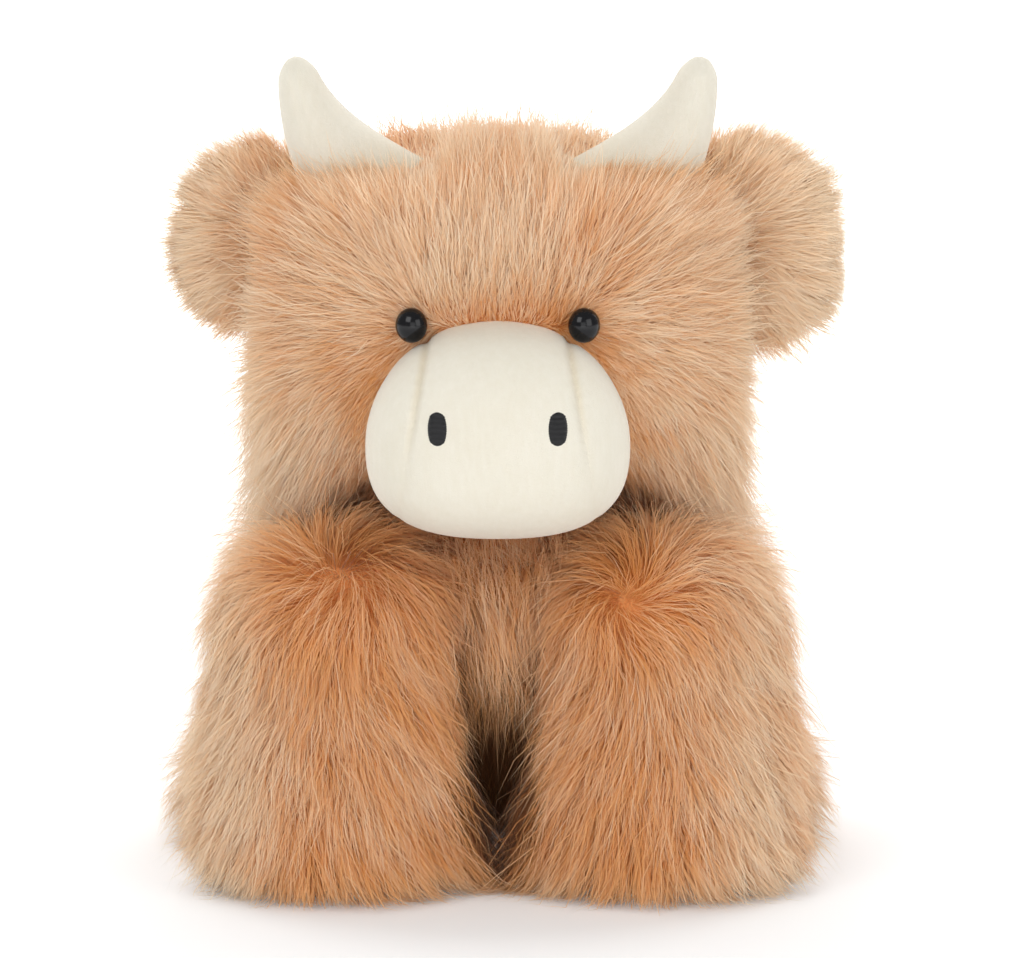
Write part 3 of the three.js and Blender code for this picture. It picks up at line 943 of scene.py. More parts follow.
    def _ribbons(
        self, name: str, paths: Array, normals: Array, tint: Array, material: bpy.types.Material
    ) -> bpy.types.Object:
        """Make the ribbons' mesh, whose map holds tint across and height along.

        Args:
            name: The name.
            paths: Each strand's points, root first.
            normals: The backing's normals there.
            tint: Each strand's tint.
            material: The fibre's material.

        Returns:
            The piece.
        """
        count, steps = len(paths), self.STEPS
        heading = unit(paths[:, -1] - paths[:, 0])
        flat = unit(np.cross(heading, normals))
        upright = np.cross(flat, heading)
        roll = np.clip(self.random.normal(0.0, self.ROLL, (count, 1)), -self.MOST_ROLL, self.MOST_ROLL)
        side = flat * np.cos(roll) + upright * np.sin(roll)
        facing = unit(np.cross(side, heading))
        facing = unit(facing * (1.0 - self.SOFTNESS) + normals * self.SOFTNESS)
        width = self.groom.width * self.random.uniform(*self.WIDTH_SPREAD, (count, 1, 1))
        half = side[:, None, :] * width * self.WIDTHS[None, :, None] / 2
        spots = np.empty((count, 2 * steps - 1, 3))
        spots[:, 0:-1:2] = paths[:, :-1] - half
        spots[:, 1:-1:2] = paths[:, :-1] + half
        spots[:, -1] = paths[:, -1]
        pattern, sizes = [], []
        for step in range(steps - 2):
            low = 2 * step
            pattern += [low, low + 1, low + 3, low + 2]
            sizes.append(4)
        last = 2 * steps - 2
        pattern += [last - 2, last - 1, last]
        sizes.append(3)
        starts = np.cumsum([0, *sizes[:-1]])
        loops = (np.arange(count)[:, None] * (2 * steps - 1) + np.array(pattern)[None, :]).ravel()
        mesh = bpy.data.meshes.new(name)
        mesh.vertices.add(spots.shape[0] * spots.shape[1])
        mesh.vertices.foreach_set("co", (spots * MM).astype(np.float32).ravel())
        mesh.loops.add(len(loops))
        mesh.loops.foreach_set("vertex_index", loops.astype(np.int32))
        mesh.polygons.add(count * len(sizes))
        first = (np.arange(count)[:, None] * len(pattern) + starts[None, :]).ravel()
        mesh.polygons.foreach_set("loop_start", first.astype(np.int32))
        mesh.update(calc_edges=True)
        across = np.array([0.0, 1.0] * (steps - 1) + [0.5])
        along = np.repeat(np.linspace(0.0, 1.0, steps), 2)[:-1]
        u = 0.01 + tint[:, None] * 0.96 + across[None, :] * 0.02
        v = np.broadcast_to(0.01 + along[None, :] * 0.98, u.shape)
        layer = mesh.uv_layers.new(name="OFBake")
        pairs = np.stack([u, v], axis=2).reshape(-1, 2)[loops]
        layer.data.foreach_set("uv", pairs.astype(np.float32).ravel())
        piece = placed(name, mesh, material)
        mesh.normals_split_custom_set_from_vertices(np.repeat(facing, 2 * steps - 1, axis=0))
        log.info("%s: %d strands", name, count)
        return piece


@dataclass
class Wardrobe:
    """The finishes, made once and shared by the pieces."""

    fur: bpy.types.Material = field(default_factory=lambda: FurFinish().make())
    backing: bpy.types.Material = field(default_factory=lambda: BackingFinish().make())
    velour: bpy.types.Material = field(default_factory=lambda: VelourFinish().make())
    thread: bpy.types.Material = field(default_factory=lambda: ThreadFinish().make())
    bead: bpy.types.Material = field(default_factory=lambda: BeadFinish().make())
    floor: bpy.types.Material = field(default_factory=lambda: FloorFinish().make())

    def stuffed(
        self, name: str, bm: bmesh.types.BMesh, body: str, *nodes: str, fill: float
    ) -> bpy.types.Object:
        """Make a stuffed form of backing cloth.

        Args:
            name: The piece's name.
            bm: Its mesh in millimetres.
            body: The body that it rides on.
            nodes: The part's nodes that it replaces.
            fill: How full it is stuffed.

        Returns:
            The piece.
        """
        return dress(piece_of(name, bm, self.backing), body, "long_pile_fur", *nodes, fill=fill)

    def coat(self, name: str, backing: bpy.types.Object, body: str, groom: Groom) -> None:
        """Grow a coat of fur on a backing."""
        dress(Fur(backing, groom).grow(name, self.fur), body, "long_pile_fur")

    def coat_in_sectors(self, backing: bpy.types.Object, body: str, groom: Groom, sectors: dict) -> None:
        """Grow a coat in several pieces.

        Args:
            backing: The backing that they share.
            body: The body that they ride on.
            groom: How the whole coat is cut and brushed.
            sectors: For each piece's name, what tells which roots are its own.
        """
        for index, (name, within) in enumerate(sectors.items()):
            sector = replace(
                groom, seed=groom.seed + index,
                density=lambda p, within=within: groom.density(p) * within(p),
            )
            self.coat(name, backing, body, sector)


def dress(
    piece: bpy.types.Object, body: str, slot: str, *nodes: str, fill: float | None = None
) -> bpy.types.Object:
    """Fix a piece to its body and hide the part's nodes that it replaces.

    Args:
        piece: The piece.
        body: The body that it rides on.
        slot: The record's material slot; not used.
        nodes: The part's nodes that it replaces.
        fill: How full it is stuffed, for a padded piece; not used.

    Returns:
        The piece.
    """
    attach(piece, body)
    if nodes:
        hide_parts(*nodes)
    log.info("%s rides on %s", piece.name, body)
    return piece


# Sub-assemblies. In their grooming methods, the ends of a smooth step are the heights, or the
# distances from the middle, in millimetres between which the cut or the colour changes.


@dataclass
class Muzzle:
    """The muzzle: three velour panels with two curved seams, and two stitched nostrils."""

    wardrobe: Wardrobe
    y: float = -92.0
    z: float = 151.0
    half_width: float = 43.5
    up: float = 41.0
    down: float = 30.0
    reach: float = 34.0
    rear: float = 36.0
    rounding: float = 0.8
    jowl: float = 0.08
    seam_top: float = 22.0
    seam_bend: float = 30.0
    seam_foot: float = 33.0
    seam_depth: float = 1.1
    seam_width: float = 1.3
    puff: float = 0.45  # how far the cloth swells beside a seam
    pucker: float = 0.12  # how far the stitches draw it in and out
    nostril_x: float = 19.6
    nostril_z: float = 162.0
    nostril_half: tuple = (3.2, 5.6)
    nostril_dent: float = 0.7
    dent_half: tuple = (8.0, 10.5)
    stitch_height: float = 0.95
    fill: float = 0.85

    def form(self) -> Form:
        """Return the muzzle's dome, which points forwards.

        Returns:
            The form.
        """
        def place(share: Array, angle: Array, height: Array) -> Array:
            """Return the places at a share of the width, an angle and a height.

            Args:
                share: The share of the full width.
                angle: The angle round the form.
                height: The height.

            Returns:
                The places, one row each.
            """
            tall = np.where(np.sin(angle) > 0, self.up, self.down)
            jowl = 1.0 + self.jowl * np.sin(2.0 * angle) ** 2 * (np.sin(angle) < 0)
            x = self.half_width * share * jowl * np.cos(angle)
            z = tall * share * jowl * np.sin(angle)
            return np.stack([x, self.y - height, self.z + z], axis=1)

        return Form(-self.rear, 0.0, self.reach, place, 1.0, self.rounding)

    def seam_x(self, z: Array) -> Array:
        """Return how far out the seams run at a height."""
        t = np.clip((z - (self.z - self.down)) / (self.up + self.down), 0.0, 1.0)
        return (1 - t) ** 2 * self.seam_foot + 2 * t * (1 - t) * self.seam_bend + t**2 * self.seam_top

    def _dome(self) -> bmesh.types.BMesh:
        """Make the dome with its seams drawn in.

        Returns:
            The closed mesh.
        """
        bm = self.form().ball(256, 180)
        points = coordinates(bm)
        x, across, y, z = axes(points)
        gap = across - self.seam_x(z)
        fade = 0.15 + 0.85 * smooth(z, 140.0, 176.0)
        crease = np.exp(-((gap / self.seam_width) ** 2)) * self.seam_depth * fade
        puff = np.exp(-(((np.abs(gap) - 6.0) / 5.0) ** 2)) * self.puff
        pucker = self.pucker * np.sin(z * 1.7) * np.exp(-((gap / 3.2) ** 2))
        dent = np.zeros(len(points))
        half_x, half_z = self.dent_half
        for side in Side:
            oval = np.hypot((x - side.value * self.nostril_x) / half_x, (z - self.nostril_z) / half_z)
            dent += self.nostril_dent * np.exp(-(oval**2))
        bm.normal_update()
        normals = np.array([vert.normal[:] for vert in bm.verts])
        change = ((puff + pucker) * fade - crease - dent) * smooth(-y, 70.0, 82.0)
        move_to(bm, points + normals * change[:, None])
        return bm

    def build(self) -> None:
        """Make the three panels, with the seams as creases, and the nostrils."""
        whole = self._dome()
        cloth = BVHTree.FromBMesh(whole)
        panels = {
            "muzzle_middle": (lambda x, seam: np.abs(x) <= seam, ("muzzle_middle_panel", "muzzle_filling")),
            "muzzle_left": (lambda x, seam: x > seam, ("muzzle_left_panel",)),
            "muzzle_right": (lambda x, seam: x < -seam, ("muzzle_right_panel",)),
        }
        for name, (belongs, nodes) in panels.items():
            bm = whole.copy()
            centres = np.array([face.calc_center_median()[:] for face in bm.faces])
            kept = belongs(centres[:, 0], self.seam_x(centres[:, 2]))
            others = [face for face, keep in zip(bm.faces, kept) if not keep]
            bmesh.ops.delete(bm, geom=others, context="FACES")
            _, across, _, z = axes(coordinates(bm))
            gap = across - self.seam_x(z)
            # darker along the seams, more towards the top where the groove is deeper: the stitched seam's own
            # darker line, and painted shade in its groove
            darken(bm, np.exp(-((gap / self.seam_width) ** 2)) * (0.1 + 0.7 * smooth(z, 146.0, 182.0)))
            panel = piece_of(name, bm, self.wardrobe.velour)
            dress(panel, "head", "cream_velour", *nodes, fill=self.fill)
        whole.free()
        for side in Side:
            self._nostril(side, cloth)

    def _nostril(self, side: Side, cloth: BVHTree) -> None:
        """Make one oval of satin stitch on the cloth.

        Args:
            side: Which of the two.
            cloth: The muzzle's surface, which the threads lie on.
        """
        bm = bmesh.new()
        bmesh.ops.create_grid(bm, x_segments=48, y_segments=72, size=1.0)
        flat = coordinates(bm)
        radius = np.maximum(np.abs(flat[:, 0]), np.abs(flat[:, 1]))
        round_share = radius / np.maximum(np.hypot(flat[:, 0], flat[:, 1]), 1e-6)
        half_width, half_height = self.nostril_half
        oval = flat[:, :2] * round_share[:, None] ** 0.75
        ragged = 1.0 + 0.035 * np.sin(oval[:, 1] * 46.0) * smooth(radius, 0.7, 1.0)
        x = side.value * self.nostril_x + oval[:, 0] * half_width * ragged
        z = self.nostril_z + oval[:, 1] * half_height
        threads = 0.07 * np.sin(z * 19.0) * (1.0 - radius**6)
        pad = self.stitch_height * (1.0 - radius**4) + threads
        points = []
        for px, pz, rise in zip(x, z, pad):
            hit = cloth.ray_cast(Vector((px, -300.0, pz)), Vector((0.0, 1.0, 0.0)))
            points.append(hit[0] + hit[1] * float(rise - 0.12))
        move_to(bm, np.array(points))
        stitches = piece_of(f"nostril_stitch_{side.word}", bm, self.wardrobe.thread)
        dress(stitches, "head", "black_thread", f"nostril_{side.word}")


@dataclass
class Head:
    """The head: its backing and its coat, which radiates from the bridge of the nose."""

    wardrobe: Wardrobe
    muzzle: Muzzle
    y: float = -34.0
    z: float = 186.0
    half_width: float = 79.0
    half_depth: float = 62.0
    up: float = 60.0
    down: float = 59.0
    crown_rounding: float = 0.72
    side_rounding: float = 0.88
    cheek_half_width: float = 84.0
    cheek_fullness: float = 0.42
    brow: tuple = (26.0, -97.0, 190.0)  # half the line between the eyes, and its Y and Z
    eye: tuple = (28.3, -92.0, 191.0)
    bead_room: float = 5.2  # no roots this near to an eye
    horn_foot: tuple = (51.0, -42.0)
    horn_room: tuple = (15.0, 11.0)
    neck_y: float = -23.0
    neck_room: float = 30.0
    coat_split: float = -38.0  # the Y where the front pieces of the coat meet the back one
    chin_lie: tuple = (0.0, 0.8, -0.6)
    back_lie: tuple = (0.0, 0.25, -1.0)
    hanging: float = 0.66
    length: float = 30.0
    fill: float = 0.8

    def form(self, grow: float) -> Form:
        """Return the head's form, larger or smaller all round.

        Args:
            grow: How much larger it is all round.

        Returns:
            The form.
        """
        def place(share: Array, angle: Array, height: Array) -> Array:
            """Return the places at a share of the width, an angle and a height.

            Args:
                share: The share of the full width.
                angle: The angle round the form.
                height: The height.

            Returns:
                The places, one row each.
            """
            low = height < 0
            widening = smooth(-height / self.down) * low
            half_width = self.half_width + (self.cheek_half_width - self.half_width) * widening + grow
            wide = share ** np.where(low, self.cheek_fullness, 1.0)
            x = half_width * wide * signed_power(np.cos(angle), self.side_rounding)
            y = (self.half_depth + grow) * share * signed_power(np.sin(angle), self.side_rounding)
            return np.stack([x, y + self.y, height + self.z], axis=1)

        rounding = self.crown_rounding
        return Form(-self.down - grow, 0.0, self.up + grow, place, rounding, rounding)

    def _from_brow(self, places: Array) -> Array:
        """Return how places lie from the nearest spot of the line between the eyes.

        Args:
            places: Places in the part's frame.

        Returns:
            The offsets, one row each.
        """
        half, y, z = self.brow
        spot = np.tile([0.0, y, z], (len(places), 1))
        spot[:, 0] = np.clip(places[:, 0], -half, half)
        return places - spot

    def _chin(self, places: Array) -> Array:
        """Return how much places lie on the chin, under the muzzle."""
        _, across, _, z = axes(places)
        return fading(across, 28.0, 44.0) * smooth(-z, -148.0, -136.0)

    def _horn_foot(self, places: Array) -> Array:
        """Return how much places lie just in front of a horn's foot.

        Args:
            places: Places in the part's frame.

        Returns:
            The share, from 0 to 1.
        """
        _, across, y, z = axes(places)
        wide = smooth(across, 26.0, 40.0) * fading(across, 70.0, 80.0)
        tall = smooth(z, 203.0, 214.0) * fading(z, 232.0, 238.0)
        return wide * tall * smooth(-y, 38.0, 46.0)

    def _to_muzzle(self, places: Array) -> Array:
        """Return how far roots lie outside the muzzle's rim, as seen from the front.

        Args:
            places: Places in the part's frame.

        Returns:
            The distances, less than 0 inside the rim.
        """
        x, _, y, z = axes(places)
        muzzle = self.muzzle
        across = x / muzzle.half_width
        tall = (z - muzzle.z) / np.where(z > muzzle.z, muzzle.up, muzzle.down)
        away = (np.sqrt(across**2 + tall**2) - 1.0) * 38.0
        return np.where(y < -50.0, away, 60.0)

    def _to_eye(self, places: Array) -> Array:
        """Return how far places are from the nearer eye.

        Args:
            places: Places in the part's frame.

        Returns:
            The distances.
        """
        mirrored = places.copy()
        mirrored[:, 0] = np.abs(mirrored[:, 0])
        return distance(mirrored, self.eye)

    def comb(self, places: Array, normals: Array) -> Array:
        """Brush outwards from the line between the eyes, and downwards behind.

        Args:
            places: Places in the part's frame.
            normals: The backing's normals there.

        Returns:
            The direction of the brush at each place.
        """
        x, across, y, _ = axes(places)
        away = unit(self._from_brow(places))
        away[:, 0] += 0.10 * np.sign(x) * smooth(across, 4.0, 26.0)
        behind = smooth(y, -30.0, 24.0)[:, None]
        chin = self._chin(places)[:, None]
        away = away * (1 - chin) + np.array(self.chin_lie) * chin
        return away * (1 - behind) + np.array(self.back_lie) * behind

    def hang(self, places: Array) -> Array:
        """Let the cheeks hang outwards over the shoulders.

        Args:
            places: Places in the part's frame.

        Returns:
            The pull on each hair.
        """
        x, across, y, z = axes(places)
        share = smooth(across, 20.0, 46.0) * smooth(-z, -180.0, -146.0)
        back = smooth(y, -30.0, 20.0)
        out = np.sign(x) * (0.42 - 0.15 * back)
        fall = np.stack([out, -0.12 + 0.4 * back, np.full(len(places), -1.0)], axis=1)
        return unit(fall) * self.hanging * share[:, None]

    def rise(self, places: Array) -> Array:
        """Lift the coat off the sides and the crown, and round the eyes and the horns.

        Args:
            places: Places in the part's frame.

        Returns:
            Degrees beyond the lift of the whole coat.
        """
        _, across, y, z = axes(places)
        side = smooth(across, 52.0, 72.0) * smooth(-y, 0.0, 40.0)
        fringe = fading(across, 24.0, 40.0) * smooth(z, 194.0, 200.0)
        fringe = fringe * fading(z, 206.0, 216.0)
        crown = smooth(z, 222.0, 234.0)
        eyes = fading(self._to_eye(places), 7.0, 13.0)
        return 8.0 * side + 14.0 * fringe + 2.0 * crown + 22.0 * eyes + 26.0 * self._horn_foot(places)

    def trim(self, places: Array) -> Array:
        """Cut the coat short round the eyes, the muzzle and the feet of the horns.

        Args:
            places: Places in the part's frame.

        Returns:
            The share of the coat's length.
        """
        _, across, y, z = axes(places)
        cheek = smooth(across, 26.0, 50.0) * smooth(-z, -172.0, -144.0)
        low = smooth(-z, -156.0, -140.0)
        rim = 0.22 + 0.78 * smooth(self._to_muzzle(places) * (1.0 + 0.8 * low), -2.0, 24.0)
        eyes = 0.36 + 0.64 * smooth(self._to_eye(places), 5.0, 19.0)
        middle = fading(across, 14.0, 28.0) * smooth(z, 210.0, 230.0)
        short = np.minimum(rim, eyes) * (1.0 + 0.45 * cheek) * (1.0 - 0.14 * middle)
        nape = smooth(y, -24.0, 4.0) * smooth(-z, -162.0, -140.0)
        short = short * (1.0 - 0.45 * self._chin(places)) * (1.0 + 0.35 * nape)
        under_horn = smooth(across, 12.0, 22.0) * (across < 80.0) * smooth(-y, 34.0, 42.0)
        line = 238.0 + 6.0 * smooth(across, 24.0, 46.0)
        climb = np.maximum(0.8 * unit(self._from_brow(places))[:, 2] + 0.12, 0.3)
        climb = climb + 0.25 * self._horn_foot(places)
        room = np.maximum((line - z) / (self.length * climb), 0.2)
        return short + (np.minimum(short, room) - short) * under_horn

    def density(self, places: Array) -> Array:
        """Leave out roots under the muzzle, the eyes, the horns and the neck.

        Args:
            places: Places in the part's frame.

        Returns:
            How densely the roots stand, as a share.
        """
        x, across, y, z = axes(places)
        keep = np.where(self._to_muzzle(places) < -3.0, 0.0, 1.0)
        keep = np.where(self._to_eye(places) < self.bead_room, 0.0, keep)
        (foot_x, foot_y), (room_x, room_y) = self.horn_foot, self.horn_room
        horn = np.hypot((across - foot_x) / room_x, (y - foot_y) / room_y)
        keep = np.where((horn < 1.0) & (z > 215.0), 0.0, keep)
        neck = np.hypot(x, y - self.neck_y)
        keep = np.where((neck < self.neck_room) & (z < 145.0), 0.0, keep)
        front = 1.0 - 0.45 * smooth(y, -20.0, 20.0)
        return keep * (front + 0.35 * smooth(-y, 60.0, 85.0))

    def paleness(self, places: Array) -> Array:
        """Make the fringe and the crown pale, paint light on the sides and the cheeks, more on the right
        cheek, and make the muzzle's rim and the chin dark.

        Args:
            places: Places in the part's frame.

        Returns:
            The tint, from 0, dark, to 1, pale.
        """
        x, across, y, z = axes(places)
        fringe = fading(across, 20.0, 34.0) * smooth(z, 192.0, 200.0)
        rim = fading(self._to_muzzle(places), 0.0, 12.0)
        low = smooth(-z, -150.0, -128.0)
        # painted light: the sides paler, as rim light and light through the hair pale the edges
        out = smooth(across, 56.0, 78.0)
        parting = np.exp(-(((z - 224.0) / 5.0) ** 2)) * (across < 60.0)
        # painted light: the cheeks paler, lifting their shade, and more on the right side, where the key lamp
        # falls
        cheek = smooth(across, 36.0, 60.0) * smooth(-z, -186.0, -160.0)
        cheek = cheek * np.where(x > 0, 0.16, 0.26)
        top = smooth(z, 230.0, 238.0) * (0.04 + 0.10 * smooth(y, -44.0, -34.0))
        return 0.60 + 0.14 * fringe + 0.30 * out + cheek + top - 0.20 * rim - 0.04 * low - 0.16 * parting

    def build(self) -> None:
        """Make the backing and the coat in three pieces."""
        core = self.form(-PILE).ball(112, 84)
        nodes = ("head_skin", "head_filling")
        backing = self.wardrobe.stuffed("head_backing", core, "head", *nodes, fill=self.fill)
        split = self.coat_split
        groom = Groom(
            comb=self.comb, strands=39000, length=self.length, trim=self.trim, paleness=self.paleness,
            density=self.density, lift=42.0, sag=0.04, hang=self.hang, rise=self.rise, seed=11,
        )
        self.wardrobe.coat_in_sectors(backing, "head", groom, {
            "head_fur_left": lambda p: (p[:, 0] >= 0) & (p[:, 1] < split),
            "head_fur_right": lambda p: (p[:, 0] < 0) & (p[:, 1] < split),
            "head_fur_back": lambda p: p[:, 1] >= split,
        })


@dataclass
class Eyes:
    """The bead eyes, pressed into the fur."""

    wardrobe: Wardrobe
    x: float = 28.3
    y: float = -92.6
    z: float = 191.0
    turn: float = 14.0
    half: tuple = (5.3, 4.6, 5.8)

    def build(self) -> None:
        """Make both beads."""
        for side in Side:
            bm = sphere_of(48, 32)
            turned = Matrix.Rotation(side.value * math.radians(self.turn), 4, "Z")
            moved = Matrix.Translation((side.value * self.x, self.y, self.z))
            bmesh.ops.transform(bm, matrix=moved @ turned @ Matrix.Diagonal((*self.half, 1)), verts=bm.verts)
            bead = piece_of(f"bead_{side.word}", bm, self.wardrobe.bead)
            dress(bead, "head", "black_bead", f"eye_{side.word}", f"eye_washer_{side.word}")


@dataclass
class Horns:
    """The velour horns, which sweep out and up from the crown."""

    wardrobe: Wardrobe
    base: tuple = (34.0, 213.0)
    bend: tuple = (64.0, 243.0)
    tip: tuple = (67.5, 273.0)
    y: float = -42.0
    base_radius: float = 23.0
    tip_radius: float = 5.2
    length: float = 68.0
    tapering: float = 0.8
    flare: float = 5.5
    seam_turn: float = 0.42  # where the seam runs, in half turns
    seam_width: float = 1.1
    seam_depth: float = 0.35
    fill: float = 0.9

    def centre(self, t: Array) -> tuple[Array, Array]:
        """Return the middle of the horn and its heading at a share of its length.

        Args:
            t: The shares of its length.

        Returns:
            The places and headings, one row each.
        """
        base, bend, tip = (np.array(point) for point in (self.base, self.bend, self.tip))
        t = t[:, None]
        place = (1 - t) ** 2 * base + 2 * t * (1 - t) * bend + t**2 * tip
        heading = 2 * (1 - t) * (bend - base) + 2 * t * (tip - bend)
        return place, heading / np.linalg.norm(heading, axis=1, keepdims=True)

    def _radius(self, rise: Array, angle: Array) -> Array:
        """Return the radius at a share of the length and an angle round it.

        Args:
            rise: The share of the length.
            angle: The angle round the form.

        Returns:
            The radii.
        """
        cap = self.tip_radius / self.length * 1.6
        over = np.clip((rise - (1 - cap)) / cap, 0.0, 1.0)
        foot = np.minimum(rise * 60.0, 1.0)
        radius = self.base_radius + (self.tip_radius - self.base_radius) * rise**self.tapering
        radius = radius * np.sqrt(np.maximum(1.0 - over**2, 0.0)) * foot
        from_seam = np.angle(np.exp(1j * (angle + math.pi * self.seam_turn))) * radius
        seam = np.exp(-((from_seam / self.seam_width) ** 2)) * self.seam_depth
        inner = np.maximum(-np.cos(angle), 0.0) ** 2 * fading(rise, 0.05, 0.85)
        return np.maximum(radius - seam, 0.0) + self.flare * inner * foot

    def build(self) -> None:
        """Make both horns."""
        for side in Side:
            bm = sphere_of(64, 90)
            sphere = coordinates(bm)
            rise = np.arcsin(np.clip(sphere[:, 2], -1, 1)) / math.pi + 0.5
            angle = np.arctan2(sphere[:, 1], sphere[:, 0])
            radius = self._radius(rise, angle)
            place, heading = self.centre(rise)
            x = place[:, 0] + heading[:, 1] * radius * np.cos(angle)
            z = place[:, 1] - heading[:, 0] * radius * np.cos(angle)
            y = self.y + radius * np.sin(angle)
            move_to(bm, np.stack([side.value * x, y, z], axis=1))
            # darker towards the horn's foot
            darken(bm, 0.6 * fading(rise, 0.22, 0.55))
            horn = piece_of(f"horn_velour_{side.word}", bm, self.wardrobe.velour)
            nodes = (f"horn_{side.word}", f"horn_filling_{side.word}")
            dress(horn, "head", "cream_velour", *nodes, fill=self.fill)


@dataclass
class Ears:
    """The ears: flat pads whose fur fans out from the root."""

    wardrobe: Wardrobe
    x: float = 78.0
    y: float = -22.0
    z: float = 209.0
    lean: float = 12.0
    root_radius: float = 12.0
    reach: float = 25.0
    half_height: float = 28.0
    rounding: float = 0.85
    pile: float = 5.0
    hub: tuple = (-10.0, 1.0)  # where the fur fans out from, inwards and up from the root
    lengths: dict = field(default_factory=lambda: {Side.LEFT: 25.0, Side.RIGHT: 16.5})
    fill: float = 0.3

    def place(self, points: Array, side: Side) -> Array:
        """Return points of an ear's own frame in the part's frame.

        Args:
            points: The points.
            side: Which of the two.

        Returns:
            The places, one row each.
        """
        lean = math.radians(self.lean)
        x = points[:, 0] * math.cos(lean) - points[:, 2] * math.sin(lean)
        z = points[:, 0] * math.sin(lean) + points[:, 2] * math.cos(lean)
        x = side.value * (x + self.x)
        return np.stack([x, points[:, 1] + self.y, z + self.z], axis=1)

    def form(self, grow: float, side: Side) -> Form:
        """Return an ear's form.

        Args:
            grow: How much larger it is all round.
            side: Which of the two.

        Returns:
            The form.
        """
        def place(share: Array, angle: Array, height: Array) -> Array:
            """Return the places at a share of the width, an angle and a height.

            Args:
                share: The share of the full width.
                angle: The angle round the form.
                height: The height.

            Returns:
                The places, one row each.
            """
            across = np.where(np.cos(angle) > 0, self.reach, self.root_radius) + grow
            x = across * share * np.cos(angle)
            y = (self.root_radius + grow) * share * np.sin(angle)
            return self.place(np.stack([x, y, height], axis=1), side)

        tip = self.half_height + grow
        return Form(-tip, 0.0, tip, place, self.rounding, self.rounding)

    def _groom(self, side: Side) -> Groom:
        """Return how one ear is cut and brushed: shorter at the top, denser at the rim.

        Args:
            side: Which of the two.

        Returns:
            The groom.
        """
        sign = side.value
        inwards, up = self.hub
        hub = np.array([sign * (self.x + inwards), self.y, self.z + up])
        return Groom(
            strands=19000, length=self.lengths[side], lift=54.0, tip_lift=28.0, sag=0.02, lock_size=8.0,
            stray=12.0, seed=31 + sign,
            comb=lambda p, n: p - hub,
            hang=lambda p: 0.40 * unit((p - hub) * np.array([1.0, 0.0, 1.0])),
            trim=lambda p: (
                1.0 + 0.30 * smooth(-p[:, 2], -198.0, -184.0) - 0.15 * sign * smooth(p[:, 2], 220.0, 232.0)
            ),
            density=lambda p: 1.0 + 0.8 * smooth(sign * p[:, 0], 88.0, 98.0),
            # painted light: the outer part of each ear paler, as at the other edges
            paleness=lambda p: 0.70 + 0.06 * sign + 0.28 * smooth(sign * p[:, 0], 72.0, 96.0),
        )

    def build(self) -> None:
        """Make both ears, each a backing and a coat."""
        for side in Side:
            core = self.form(-self.pile, side).ball(56, 40)
            body = f"ear_{side.word}"
            nodes = (f"ear_front_{side.word}", f"ear_back_{side.word}")
            backing = self.wardrobe.stuffed(f"ear_backing_{side.word}", core, body, *nodes, fill=self.fill)
            self.wardrobe.coat(f"ear_fur_{side.word}", backing, body, self._groom(side))


